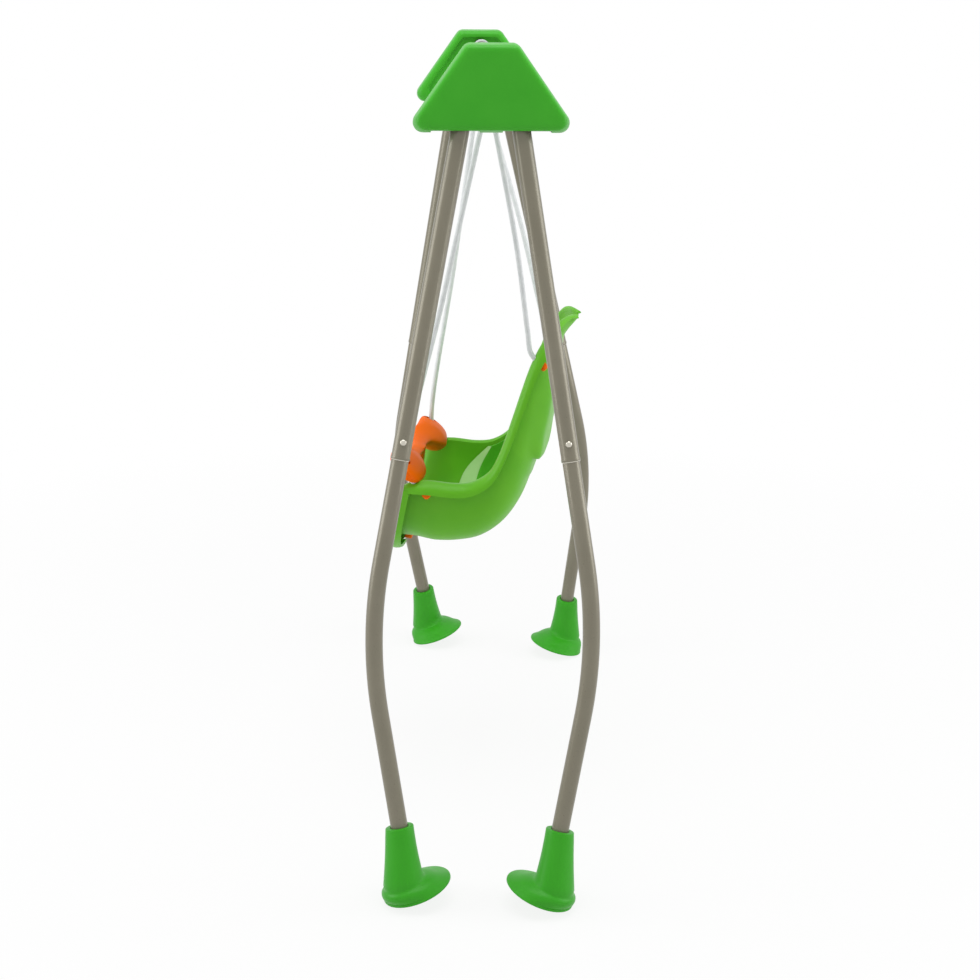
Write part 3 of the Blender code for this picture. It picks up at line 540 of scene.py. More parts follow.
def pipe(name, steps, facets=48):
    """A hollow tube from steps that each give a centre, an outer radius and an inner one."""
    outer = []
    inner = []
    for (_, outer_r, inner_r), place in zip(steps, framed([centre for centre, _, _ in steps])):
        outer.append(circle(*place, outer_r, facets))
        inner.append(circle(*place, inner_r, facets))
    return loft(name, [*outer, *reversed(inner)], around=True)


# Powder coat: a satin skin with a fine orange peel, which drifts slowly in tone
taupe = surface(
    "taupe_powder_coat",
    (0.185, 0.168, 0.118),
    (0.232, 0.212, 0.156),
    patch=0.060,
    grain=0.0018,
    relief=(0.12, 0.0004),
    rough=("Grain", 0.3, 0.7, 0.26, 0.38),
    settings={"Metallic": 0.25, "Coat Weight": 0.20, "Coat Roughness": 0.16},
)
bar_low, bar_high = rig.box("top_bar")
axis_x = swing_axis.x
bar_z = swing_axis.z
steps = []
for y, less in ((bar_low.y, ease), (bar_low.y + ease, 0.0), (bar_high.y - ease, 0.0), (bar_high.y, ease)):
    steps.append((Vector((axis_x, y, bar_z)), top_bar_r - less, top_bar_r - top_bar_wall))
finish(pipe("top_bar_tube", steps), taupe, "tube_taupe", "frame", "top_bar", angle=60)

# Pivot plates, bolts and nuts
# Inside each housing two stamped steel plates hold the top bar and the four pivot bolts. They are
# bright zinc plated, and only show through the slots that the legs come out of.
plate_thick = 0.0025
plate_gap = 0.035
plate_past_pivots = 0.022
plate_half_top = 0.020
plate_below_pivots = 0.013
plate_above_bar = 0.017
plate_corner = 0.008
bolt_r = 0.003
nut_r = 0.0058
nut_height = 0.0045
plate_edge = 0.0003
nut_edge = 0.0004
shell_screw_r = 0.0018
pivot_half_gap = 0.0355
pivot_z = hinges["front_left_leg_fold"]["pos_m"][2]
screw_spots = [(-0.018, bar_z - 0.022), (0.018, bar_z - 0.022)]
air = 0.0003
pivot_y = {end_name: hinges[f"front_{end_name}_leg_fold"]["pos_m"][1] for end_name in ends}


def turned(name, profile, base, way, facets=32):
    """A solid of revolution from (distance along the way, radius) steps, flat at both ends."""
    base, way = Vector(base), Vector(way).normalized()
    square = square_to(way)
    return loft(name, [circle(base + way * along, *square, radius, facets) for along, radius in profile])


def evaluated(thing):
    """The mesh that an object's outline or modifiers make."""
    graph = bpy.context.evaluated_depsgraph_get()
    graph.update()
    return bpy.data.meshes.new_from_object(thing.evaluated_get(graph))


def settled(piece):
    """Makes a piece's modifiers its real mesh."""
    mesh = evaluated(piece)
    piece.modifiers.clear()
    piece.data = mesh
    return piece


def eased(piece, width, angle=40, segments=3):
    """Rounds a piece's sharp edges."""
    bevel = piece.modifiers.new("eased_edges", "BEVEL")
    bevel.width = width
    bevel.segments = segments
    bevel.limit_method = "ANGLE"
    bevel.angle_limit = radians(angle)
    return settled(piece)


def rounded_trapezoid(half_base, half_top, low, high, corner, arc):
    """Points in X and Z of a trapezoid with round corners, from its lower right corner."""
    corners = [(half_base, low), (half_top, high), (-half_top, high), (-half_base, low)]
    points = []
    for i, (x, z) in enumerate(corners):
        here = Vector((x, z))
        before = (Vector(corners[i - 1]) - here).normalized()
        after = (Vector(corners[(i + 1) % 4]) - here).normalized()
        half = before.angle(after) / 2
        middle = here + (before + after).normalized() * (corner / sin(half))
        first = here + before * (corner / tan(half)) - middle
        last = here + after * (corner / tan(half)) - middle
        a = atan2(first.y, first.x)
        sweep = (atan2(last.y, last.x) - a) % (2 * pi)
        for k in range(arc):
            t = a + sweep * k / (arc - 1)
            points.append((middle.x + corner * cos(t), middle.y + corner * sin(t)))
    return points


def pressed(name, outline, holes, y, thickness):
    """A flat plate of an outline in X and Z with round holes in it, square to the top bar."""
    rings = [outline]
    for x, z, radius in holes:
        angles = [2 * pi * i / 32 for i in range(32)]
        rings.append([(x + radius * cos(a), z + radius * sin(a)) for a in angles])
    sheet = bpy.data.curves.new(name, "CURVE")
    sheet.dimensions = "2D"
    sheet.fill_mode = "BOTH"
    sheet.extrude = thickness / 2
    for ring in rings:
        spline = sheet.splines.new("POLY")
        spline.points.add(len(ring) - 1)
        spline.use_cyclic_u = True
        for point, (x, z) in zip(spline.points, ring):
            point.co = (x, z, 0.0, 1.0)
    drawn = in_scene(name, sheet)
    skin = bmesh.new()
    skin.from_mesh(evaluated(drawn))
    bpy.data.objects.remove(drawn)
    bmesh.ops.remove_doubles(skin, verts=skin.verts, dist=0.00001)
    stand = Matrix.Translation((0, y, 0)) @ Matrix.Rotation(pi / 2, 4, "X")
    bmesh.ops.transform(skin, matrix=stand, verts=skin.verts)
    return made(name, skin)


# Bright zinc: pale metal, faintly cloudy and brushed
zinc = surface(
    "bright_zinc",
    (0.56, 0.53, 0.45),
    (0.68, 0.65, 0.57),
    patch=0.006,
    grain=0.0004,
    relief=(0.2, 0.0001),
    rough=("Tone", 0.3, 0.7, 0.20, 0.36),
    settings={"Metallic": 1.0},
)
plate_outline = rounded_trapezoid(
    pivot_half_gap + plate_past_pivots,
    plate_half_top,
    pivot_z - plate_below_pivots,
    bar_z + plate_above_bar,
    plate_corner,
    8,
)
head = plate_gap / 2 + plate_thick + air
bolt_steps = [
    (-head - 0.0050, 0.0022),
    (-head - 0.0042, bolt_r),
    (head, bolt_r),
    (head, 0.0055),
    (head + 0.0026, 0.0055),
    (head + 0.0036, 0.0048),
    (head + 0.0040, 0.0034),
]
for end_name, end in ends.items():
    middle = pivot_y[end_name]
    for part, way in (("inner", -end), ("outer", end)):
        holes = [(axis_x + side * pivot_half_gap, pivot_z, bolt_r + air) for side in (-1, 1)]
        holes.append((axis_x, bar_z, top_bar_r + air))
        if part == "inner":
            holes += [(axis_x + x, z, shell_screw_r + air) for x, z in screw_spots]
        y = middle + way * (plate_gap + plate_thick) / 2
        outline = [(axis_x + x, z) for x, z in plate_outline]
        plate = eased(pressed(f"{end_name}_{part}_pivot_plate", outline, holes, y, plate_thick), plate_edge)
        finish(plate, zinc, "zinc_steel", "frame", f"{end_name}_plate_{part}", angle=35)
    for side_name, side in sides.items():
        label = f"{side_name}_{end_name}"
        x = axis_x + side * pivot_half_gap
        bolt = turned(f"{label}_bolt", bolt_steps, (x, middle, pivot_z), (0, end, 0))
        finish(bolt, zinc, "zinc_steel", "frame", f"{label}_pivot_bolt", angle=50)
        hexagon = [(x + nut_r * cos(pi * i / 3), pivot_z + nut_r * sin(pi * i / 3)) for i in range(6)]
        y = middle - end * (head + nut_height / 2)
        nut = eased(pressed(f"{label}_nut", hexagon, [(x, pivot_z, bolt_r + air)], y, nut_height), nut_edge)
        finish(nut, zinc, "zinc_steel", "frame", f"{label}_pivot_nut", angle=35)

# Housings
# Each end has two moulded shells of leaf green plastic that close over the pivots like a clam. The
# outer one is a pillowed cap and the inner one has a sunk panel, with two screws into the plate.
housing_half_base = 0.1225
housing_half_top = 0.0360
housing_height = 0.1215
housing_corner = 0.014
housing_out = 0.030
housing_in = 0.040
housing_wall = 0.0025
panel_recess = 0.0055
seam_out = 0.006
edge_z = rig.box("left_housing_outer")[0].z
upper_tube_d = 0.0265
fold_in_use = radians(30.2)
splay_in_slot = radians(10.5)
# Room in the slots for a tube, in shares of its width: inwards and outwards, then beside it
slot_room = (0.75, 0.85)
slot_side_room = (0.62, 0.70)
slot_corner = 0.003
slot_below = 0.01
slot_above = 0.004


def moulded(name, dark, light, roughness, gloss, patch=0.05):
    """Moulded plastic: a slow drift of colour, a fine peel, and duller patches where it is handled."""
    rough = ("Tone", 0.35, 0.7, roughness - 0.04, roughness + 0.08)
    return surface(name, dark, light, patch, 0.0022, (0.10, 0.0004), rough, {"Specular IOR Level": gloss})


def carved(piece, *tools, operation="DIFFERENCE"):
    """Cuts tools out of a piece, or joins them to it, and clears them away."""
    for tool in tools:
        step = piece.modifiers.new("tool", "BOOLEAN")
        step.operation = operation
        step.object = tool
    settled(piece)
    for tool in tools:
        bpy.data.objects.remove(tool)
    return piece


def shaped_cube(name, matrix):
    """A cube of 1 m, given its size, turn and place by a matrix."""
    skin = bmesh.new()
    bmesh.ops.create_cube(skin, size=1.0, matrix=matrix)
    return made(name, skin)


def block(name, low, high):
    low, high = Vector(low), Vector(high)
    return shaped_cube(name, Matrix.Translation((low + high) / 2) @ Matrix.Diagonal((*(high - low), 1.0)))


def bore(base, way, radius, start=-0.03, stop=0.03, facets=32):
    """A round tool for a hole."""
    return turned("bore", [(start, radius), (stop, radius)], base, way, facets)


def housing_ring(inset, rise, y):
    """The housing's outline at one depth: the inset draws in its top and sides, the rise its base."""
    slope = atan2(housing_half_base - housing_half_top, housing_height)
    draw = inset / cos(slope)
    base = housing_half_base - draw - rise * tan(slope)
    top = housing_half_top - draw + inset * tan(slope)
    corner = max(housing_corner - inset * 0.35, 0.002)
    outline = rounded_trapezoid(base, top, edge_z + rise, edge_z + housing_height - inset, corner, arc=12)
    return [Vector((axis_x + x, y, z)) for x, z in outline]


def face_out(sheet, index, inside):
    """Turns an open sheet's faces outwards, as one of them and a point inside it show."""
    face = sheet.data.polygons[index]
    if face.normal.dot(face.center - inside) < 0:
        sheet.data.flip_normals()


def walled(sheet, thickness):
    """Gives an open sheet that faces outwards a wall on its inside."""
    wall = sheet.modifiers.new("wall", "SOLIDIFY")
    wall.thickness = thickness
    wall.offset = -1.0
    wall.use_quality_normals = True
    return settled(sheet)


def housing_shell(name, seam, way, depth, steps):
    """An open shell from (inset, rise, share of the depth) steps, thickened inwards."""
    rings = [housing_ring(inset, rise, seam + way * (air / 2 + out * depth)) for inset, rise, out in steps]
    skin, loops = skinned(rings)
    skin.faces.new(loops[-1])
    shell = made(name, skin)
    face_out(shell, 0, Vector((axis_x, seam, edge_z + housing_height / 2)))
    return walled(shell, housing_wall)


outer_steps = [
    (0.0, 0.0, 0.0),
    (0.0006, 0.0004, 0.012),
    (0.0, 0.0, 0.030),
    (0.0, 0.0003, 0.12),
    (0.0003, 0.0012, 0.30),
    (0.0007, 0.0024, 0.48),
    (0.0012, 0.0035, 0.64),
    (0.0019, 0.0046, 0.77),
    (0.0027, 0.0052, 0.85),
    (0.0038, 0.0064, 0.915),
    (0.0054, 0.0080, 0.958),
    (0.0076, 0.0102, 0.988),
    (0.0106, 0.0132, 1.007),
    (0.0150, 0.0170, 1.020),
    (0.0205, 0.0220, 1.031),
    (0.0270, 0.0280, 1.040),
    (0.0340, 0.0350, 1.046),
]
inner_steps = [
    (0.0, 0.0, 0.0),
    (0.0, 0.0, 0.45),
    (0.0005, 0.0005, 0.63),
    (0.0012, 0.0012, 0.78),
    (0.0022, 0.0022, 0.87),
    (0.0035, 0.0035, 0.93),
    (0.0052, 0.0052, 0.975),
    (0.0070, 0.0070, 1.0),
    (0.0110, 0.0110, 1.0),
    (0.0120, 0.0120, 0.992),
    (0.0132, 0.0132, 1.0 - panel_recess / housing_in * 0.8),
    (0.0145, 0.0145, 1.0 - panel_recess / housing_in),
]
leaf_green = moulded("leaf_green_plastic", (0.040, 0.390, 0.014), (0.062, 0.445, 0.026), 0.38, 0.22)
for end_name, end in ends.items():
    middle = pivot_y[end_name]
    seam = middle + end * seam_out
    shells = {
        "outer": housing_shell(f"{end_name}_outer_shell", seam, end, housing_out, outer_steps),
        "inner": housing_shell(f"{end_name}_inner_shell", seam, -end, housing_in, inner_steps),
    }
    drop = pivot_z - edge_z
    inner_x = pivot_half_gap - upper_tube_d * slot_room[0]
    outer_x = pivot_half_gap + drop * tan(fold_in_use) + upper_tube_d * slot_room[1]
    near, far = sorted((
        middle - end * upper_tube_d * slot_side_room[0],
        middle + end * (drop * tan(splay_in_slot) + upper_tube_d * slot_side_room[1]),
    ))
    for part, shell in shells.items():
        tools = []
        for side in sides.values():
            low_x, high_x = sorted((side * inner_x, side * outer_x))
            low = (axis_x + low_x, near, edge_z - slot_below)
            high = (axis_x + high_x, far, edge_z + housing_wall + slot_above)
            tools.append(eased(block("slot", low, high), slot_corner, segments=4))
        if part == "inner":
            way = (0, end, 0)
            tools.append(bore((axis_x, middle, bar_z), way, top_bar_r + 2 * air, -0.06, -0.01))
            face = seam - end * (housing_in - panel_recess)
            for x, z in screw_spots:
                tools.append(bore((axis_x + x, face, z), way, shell_screw_r + air, -0.01, 0.006))
        carved(shell, *tools)
        finish(shell, leaf_green, "housing_green", "frame", f"{end_name}_housing_{part}", angle=30)

# Screws
# Pan-headed self-tapping screws of bright zinc with a cross recess: two hold each inner shell to its
# plate, and one on the outer side of each leg pins its two tubes together.
cross_width = 1.5
cross_arm = 0.24
cross_depth = 0.0012


def screw_piece(name, profile, base, way):
    """A screw turned to a profile whose last step is the top of its head, with a driver's cross in it."""
    way = Vector(way).normalized()
    top, crown = profile[-1]
    size = crown * cross_width
    shape = Matrix.Diagonal((size, size * cross_arm, cross_depth * 2, 1.0))
    first, second = square_to(way)
    tools = []
    for along, across in ((first, second), (second, first)):
        turn = Matrix((along, across, way)).transposed().to_4x4()
        tools.append(shaped_cube("cross", Matrix.Translation(Vector(base) + way * top) @ turn @ shape))
    return carved(turned(name, profile, base, way), *tools)


panel_to_plate = housing_in - panel_recess + air / 2 - seam_out - plate_gap / 2
shell_screw_steps = [
    (-panel_to_plate - 0.001, shell_screw_r),
    (air, shell_screw_r),
    (air, 0.0038),
    (0.0007, 0.0040),
    (0.0015, 0.0036),
    (0.0022, 0.0027),
]
for end_name, end in ends.items():
    face = pivot_y[end_name] - end * (plate_gap / 2 + panel_to_plate)
    for (x, z), side_name in zip(screw_spots, sides):
        name = f"{end_name}_{side_name}_shell_screw"
        screw = screw_piece(name, shell_screw_steps, (axis_x + x, face, z), (0, -end, 0))
        finish(screw, zinc, "zinc_steel", "frame", f"{end_name}_housing_screw_{side_name}", angle=50)

# Legs
# Each leg is a straight upper steel tube and a bent lower one whose drawn-down top pushes up into
# it, with a grey plug at the pivot. Both are powder coated, and a screw pins them together.
lower_tube_d = 0.0250
upper_wall = 0.0010
lower_wall = 0.0015
pivot_to_joint = 0.511
pivot_to_bend = 0.659
bend_radius = 0.640
bend_angle = radians(19.7)
bend_to_foot = 0.167
top_stub = 0.018
spigot_length = 0.045
screw_above_joint = 0.026
bare_rim = 0.0009
rim_depth = 0.0015
socket_depth = 0.070
leg_to_rim = pivot_to_bend + bend_radius * bend_angle + bend_to_foot
leg_screw_r = 0.0020
leg_names = []
for side_name, side in sides.items():
    leg_names += [(f"{side_name}_{end_name}", side, end) for end_name, end in ends.items()]


class LegLine:
    """One leg's line from its pivot: straight down its upper tube, then bent in towards the middle."""

    def __init__(self, label, side):
        self.pivot = Vector(hinges[f"{label}_leg_fold"]["pos_m"])
        points = [v.co for v in frame["nodes"][f"{label}_upper_tube"].data.vertices]
        reach = max((point - self.pivot).length for point in points)
        ring = [point for point in points if (point - self.pivot).length > reach - rim_depth]
        self.down = (sum(ring, Vector()) / len(ring) - self.pivot).normalized()
        self.outward = Vector((-self.down.z, 0.0, self.down.x)).normalized() * side

    def at(self, along):
        turn = max(0.0, min((along - pivot_to_bend) / bend_radius, bend_angle))
        past = max(0.0, along - pivot_to_bend - bend_radius * bend_angle)
        out = -bend_radius * (1 - cos(turn)) - past * sin(bend_angle)
        down = min(along, pivot_to_bend) + bend_radius * sin(turn) + past * cos(bend_angle)
        return self.pivot + self.outward * out + self.down * down

    def way(self, along):
        return (self.at(along + 0.001) - self.at(along - 0.001)).normalized()


# Each tube's steps: how far down the leg, and its radius there. The upper tube's rim at the joint is
# rolled very slightly outwards, and all rims are eased.
upper_r = upper_tube_d / 2
lower_r = lower_tube_d / 2
snug_r = upper_r - upper_wall - air
upper_steps = [
    (-top_stub, upper_r - ease),
    (-top_stub + ease, upper_r),
    (pivot_to_joint - 0.0060, upper_r),
    (pivot_to_joint - 0.0045, upper_r + 0.0004),
    (pivot_to_joint - 0.0012, upper_r + 0.0004),
    (pivot_to_joint - 0.0003, upper_r - 0.0001),
    (pivot_to_joint, upper_r - 0.0004),
]
lower_steps = [
    (pivot_to_joint - spigot_length, snug_r - ease),
    (pivot_to_joint - spigot_length + ease, snug_r),
    (pivot_to_joint - 0.0004, snug_r),
    (pivot_to_joint + air, lower_r - 0.0004),
    (pivot_to_joint + 0.0012, lower_r),
]
bends = 28
for i in range(bends + 1):
    lower_steps.append((pivot_to_bend + bend_radius * bend_angle * i / bends, lower_r))
lower_steps.append((leg_to_rim + socket_depth, lower_r))
leg_screw_steps = [
    (-upper_r - 0.002, 0.0012),
    (-upper_r - 0.001, leg_screw_r),
    (upper_r + 0.0004, leg_screw_r),
    (upper_r + 0.0002, 0.0045),
    (upper_r + 0.0010, 0.0046),
    (upper_r + 0.0020, 0.0041),
    (upper_r + 0.0028, 0.0029),
]
plug_steps = [
    (-0.020, snug_r - 0.0008),
    (-0.0192, snug_r),
    (top_stub + air, snug_r),
    (top_stub + air, snug_r + 0.0009),
    (top_stub + 0.0014, snug_r + 0.0009),
    (top_stub + 0.0020, snug_r - 0.0004),
]
plug_grey = moulded("grey_plug_plastic", (0.085, 0.085, 0.085), (0.12, 0.12, 0.12), 0.5, 0.0)
legs = {}
for label, side, end in leg_names:
    body = f"{label}_leg"
    leg = LegLine(label, side)
    legs[label] = leg
    screw_at = pivot_to_joint - screw_above_joint
    way = leg.way(screw_at)
    out = (Vector((0, end, 0)) - way * way.y * end).normalized()
    bolt_hole = (leg.pivot, (0, end, 0), bolt_r + air)
    screw_hole = (leg.at(screw_at), out, leg_screw_r + air)

    steps = [(leg.at(down), radius, upper_r - upper_wall) for down, radius in upper_steps]
    upper = pipe(f"{label}_upper_leg", steps)
    for hole in (bolt_hole, screw_hole):
        carved(upper, bore(*hole, facets=24))
    finish(upper, taupe, "tube_taupe", body, f"{label}_upper_tube", angle=30)
    # The rim's paint is worn through to bright metal
    upper.data.materials.append(zinc)
    for face in upper.data.polygons:
        face.material_index = int((face.center - leg.pivot).dot(leg.down) > pivot_to_joint - bare_rim)

    steps = [(leg.at(down), radius, min(radius, lower_r) - lower_wall) for down, radius in lower_steps]
    lower = carved(pipe(f"{label}_lower_leg", steps), bore(*screw_hole, facets=24))
    finish(lower, taupe, "tube_taupe", body, f"{label}_lower_tube", angle=30)

    screw = screw_piece(f"{label}_leg_screw", leg_screw_steps, leg.at(screw_at), out)
    finish(screw, zinc, "zinc_steel", body, f"{label}_tube_screw", angle=50)

    plug = carved(turned(f"{label}_plug", plug_steps, leg.pivot, -leg.down), bore(*bolt_hole, facets=24))
    finish(plug, plug_grey, "bush_grey", body, f"{label}_pivot_bush", angle=40)

# Feet
# Each foot is moulded in the housings' green: a cone that grips the end of the tube and leans out,
# on a wide round flange that lies flat on the ground when the frame is opened.
foot_green = moulded("foot_green_plastic", (0.032, 0.345, 0.010), (0.048, 0.395, 0.019), 0.38, 0.22)
foot_rim_r = 0.0206
foot_cone_r = 0.0300
flange_r = 0.0515
skirt_height = 0.021
flange_inset_x = 0.012075
flange_inset_y = 0.0138
cone_rounding = 0.008
cone_steps = 9
soles = {mount["name"]: mount for mount in frame["record"]["mounts"]}
# The skirt under the cone: what share of the way down to the sole, and how much wider than the cone
spread_steps = [(0.08, 0.0060), (0.20, 0.0095), (0.38, 0.0130), (0.60, 0.0160)]
# The flange and its underside: how far above the sole, and how much narrower than the flange
sole_steps = [
    (0.0042, 0.0012),
    (0.0032, 0.0003),
    (0.0022, 0.0),
    (0.0008, 0.0002),
    (0.0, 0.0012),
    (0.0, 0.0060),
    (0.0014, 0.0068),
    (0.0014, 0.0200),
    (0.0004, 0.0206),
    (0.0004, 0.0230),
    (0.0014, 0.0236),
    (0.0014, flange_r - 0.0060),
]


def foot_rings(leg, side, end, sole, level, facets=72):
    """Rings from the bottom of the tube's socket up, over the rim and down the outside to the sole."""
    rim = leg.at(leg_to_rim)
    way = leg.way(leg_to_rim)
    flat_x = Vector((-level.z, 0.0, level.x))
    middle = flat_x * side * flange_inset_x + Vector((0, end * flange_inset_y, 0))
    cone_base = sole + middle - level * skirt_height
    cone_top = cone_base - level * cone_rounding
    across = way.cross(Vector((0, 1, 0))).normalized()
    socket_r = lower_r + 2 * air
    steps = [
        (rim + way * (socket_depth + 2 * air), way, socket_r),
        (rim + way * 0.0008, way, socket_r),
        (rim, way, socket_r + 0.0006),
        (rim, way, foot_rim_r - 0.0016),
        (rim + way * 0.0005, way, foot_rim_r - 0.0004),
        (rim + way * 0.0016, way, foot_rim_r),
    ]
    for i in range(1, cone_steps):
        share = 0.06 + 0.94 * i / cone_steps
        facing = way.lerp(level, share).normalized()
        radius = foot_rim_r + (foot_cone_r - foot_rim_r) * share - 0.0012 * sin(pi * share)
        steps.append((rim.lerp(cone_top, share), facing, radius))
    steps += [
        (cone_top, level, foot_cone_r),
        (cone_base - level * 0.0035, level, foot_cone_r + 0.0004),
        (cone_base - level * 0.0012, level, foot_cone_r + 0.0012),
        (cone_base, level, foot_cone_r + 0.0028),
    ]
    for share, more in spread_steps:
        steps.append((cone_base.lerp(sole, share), level, foot_cone_r + more))
    for up, less in sole_steps:
        steps.append((sole - level * up, level, flange_r - less))
    rings = []
    for centre, facing, radius in steps:
        first = (across - facing * across.dot(facing)).normalized()
        rings.append(circle(centre, first, facing.cross(first), radius, facets))
    return rings


for label, side, end in leg_names:
    mount = soles[f"{label}_sole"]
    rings = foot_rings(legs[label], side, end, Vector(mount["pos_m"]), Vector(mount["axis"]).normalized())
    foot = loft(f"{label}_moulded_foot", rings)
    finish(foot, foot_green, "housing_green", f"{label}_leg", f"{label}_foot", angle=40)

# Hangers
# Two white moulded links turn round the top bar. Each is a ring and a stem over a block that is
# clamped on the two ropes of its side.
hanger_ring_r = 0.0140
hanger_thick = 0.016
clamp_half_width = 0.0135
clamp_height = 0.024
stem = 0.0055
# Heights of the clamp's three grooves above its bottom, and how deep they are
grooves = (0.0160, 0.0120, 0.0080)
groove_depth = 0.0008
white_plastic = moulded(
    "white_moulded_plastic", (0.70, 0.77, 0.76), (0.77, 0.83, 0.82), 0.38, 0.35, patch=0.02
)
open_angle = asin(stem / hanger_ring_r)
outline = []
for i in range(37):
    a = -pi / 2 + open_angle + (2 * pi - 2 * open_angle) * i / 36
    outline.append((hanger_ring_r * cos(a), hanger_ring_r * sin(a)))
shoulder = -hanger_drop + clamp_height
left_side = [(-stem, shoulder + 0.006), (-clamp_half_width, shoulder - 0.004)]
for z in grooves:
    for step in (0, 1, 2):
        deep = groove_depth if step == 1 else 0.0
        left_side.append((-clamp_half_width + deep, z - hanger_drop - groove_depth * step))
left_side.append((-clamp_half_width, -hanger_drop))
outline += left_side
outline += [(-x, z) for x, z in reversed(left_side)]
outline = [(axis_x + x, bar_z + z) for x, z in outline]
for end_name, end in ends.items():
    y = swing_axis.y + end * hanger_spread
    hanger = pressed(f"{end_name}_link", outline, [(axis_x, bar_z, top_bar_r + air)], y, hanger_thick)
    eased(hanger, 0.0010, angle=50)
    sockets = []
    for which in ("front", "back"):
        line = rope_lines[which, end_name]
        sockets.append(bore(line[0], (line[1] - line[0]).normalized(), rope_d / 2 + air, start=-air))
    carved(hanger, *sockets)
    finish(hanger, white_plastic, "hanger_white", "swing", f"{end_name}_hanger", angle=40)

# Seat shell
# The seat is one thin moulded bucket of lime green plastic with its rim rolled outwards and down.
# It narrows into a headrest, and its back is thickened in steps where a hand would push it.
# It is drawn as rows of points, some of them between the stations of the table below.
seat_wall = 0.004
row_fineness = 5
seat_columns = 26
lip_fade = 10
upper_pad = 0.0175
lower_pad = 0.0030
rope_room = 0.0010
# For each station from the front edge back: the middle of the outside and the rim, each in X and up
# from the seat's lowest point, and how far the rim is drawn in
stations = [
    ((-0.141, -0.006), (-0.112, 0.107), 0.009),
    ((-0.134, 0.002), (-0.105, 0.111), 0.002),
    ((-0.105, 0.004), (-0.089, 0.116), 0.0),
    ((-0.068, 0.000), (-0.066, 0.117), 0.0),
    ((-0.030, 0.002), (-0.029, 0.114), 0.0),
    ((0.008, 0.012), (0.002, 0.118), 0.0),
    ((0.043, 0.038), (0.030, 0.136), -0.001),
    ((0.069, 0.076), (0.046, 0.165), -0.003),
    ((0.0855, 0.120), (0.058, 0.198), -0.005),
    ((0.098, 0.168), (0.069, 0.232), -0.009),
    ((0.109, 0.216), (0.080, 0.267), -0.014),
    ((0.1175, 0.264), (0.092, 0.303), -0.020),
    ((0.124, 0.304), (0.105, 0.332), -0.029),
    ((0.130, 0.333), (0.117, 0.351), -0.043),
    ((0.1355, 0.344), (0.127, 0.3635), -0.062),
    ((0.141, 0.3515), (0.136, 0.3690), -0.084),
    ((0.148, 0.3590), (0.144, 0.3705), -0.106),
    ((0.1535, 0.3655), (0.153, 0.3685), -0.120),
]
rim_taper = {0: 0.40, 1: 0.75, 2: 0.95, 13: 0.82, 14: 0.62, 15: 0.46, 16: 0.38, 17: 0.34}
# From the rim outwards and up, in shares of the roll's size
roll_profile = [
    (0.14, 0.055),
    (0.35, 0.05),
    (0.56, -0.01),
    (0.74, -0.11),
    (0.89, -0.24),
    (0.97, -0.37),
    (1.005, -0.50),
    (1.02, -0.61),
    (1.03, -0.72),
]
# Of the turned-out lip: how far behind the front edge, and how far out from it
lip_profile = [
    (0.0135, 0.0104),
    (0.0095, 0.0118),
    (0.0052, 0.0122),
    (0.0012, 0.0116),
    (-0.0022, 0.0097),
    (-0.0043, 0.0066),
    (-0.0044, 0.0032),
    (-0.0026, 0.0009),
]
post_top = Vector((-0.103, 0.0, 0.138))
post_half_x = 0.0065
post_half_y = 0.011
post_tip_z = -0.016
post_edge = 0.0018
bar_tilt = radians(8.0)


def between(table, place):
    """A smooth value between the rows of a table of equal rows, at a place along it."""
    last = len(table) - 1
    index = max(0, min(int(place), last - 1))
    t = place - index
    p0, p1, p2, p3 = (table[max(0, min(index + k, last))] for k in (-1, 0, 1, 2))
    out = []
    for a, b, c, d in zip(p0, p1, p2, p3):
        out.append(b + 0.5 * t * (c - a + t * (2 * a - 5 * b + 4 * c - d + t * (3 * (b - c) + d - a))))
    return out


station_rows = [(*base, *rim, rim_half_width + more) for base, rim, more in stations]
taper_rows = [(rim_taper.get(i, 1.0),) for i in range(len(stations))]


def station(place):
    """The middle of the bucket's base and of its rim at a place along the table, and half its width."""
    base_x, base_z, rim_x, rim_z, half_width = between(station_rows, place)
    return Vector((base_x, 0.0, base_z)), Vector((rim_x, 0.0, rim_z)), half_width


def eased_step(low, high, value):
    t = max(0.0, min(1.0, (value - low) / (high - low)))
    return t * t * (3 - 2 * t)


def bucket_point(place, a, inset=0.0):
    """A point on the bucket at one station, at an angle from the middle of its base to either rim."""
    full = min(1.0, place / 3)
    up = (1 - cos(a)) ** (1.10 + 0.25 * full)
    base, rim, half_width = station(place)
    base = base + (rim - base).normalized() * inset
    point = base + (rim - base) * up
    y = (half_width - inset) * abs(sin(a)) ** (0.84 - 0.20 * full)
    point.y = y if a > 0 else -y
    return point


def with_roll(row, place):
    """The row with the rim rolled outwards and down at both ends, smaller and flatter at the head."""
    share = between(taper_rows, place)[0]
    base, rim, _ = station(place)
    rise = (rim - base).normalized() * rim_roll * share ** 2
    edges = []
    for sign, edge in ((-1, row[0]), (1, row[-1])):
        outwards = Vector((0.0, sign * rim_roll * share, 0.0))
        edges.append([edge + rise * up + outwards * out for out, up in roll_profile])
    return [*reversed(edges[0]), *row, *edges[1]]


def back_pad(place, y):
    """How far the back's outside stands proud, in two steps that run out towards the sides and top."""
    upper = upper_pad * eased_step(8.50, 8.95, place) * (1 - 0.36 * eased_step(8.95, 9.8, place))
    lower = lower_pad * eased_step(7.86, 7.98, place)
    fade = 1 - eased_step(10.4, 12.6, place)
    across = 1 - eased_step(0.085, 0.115, abs(y))
    return (upper + lower) * fade * across


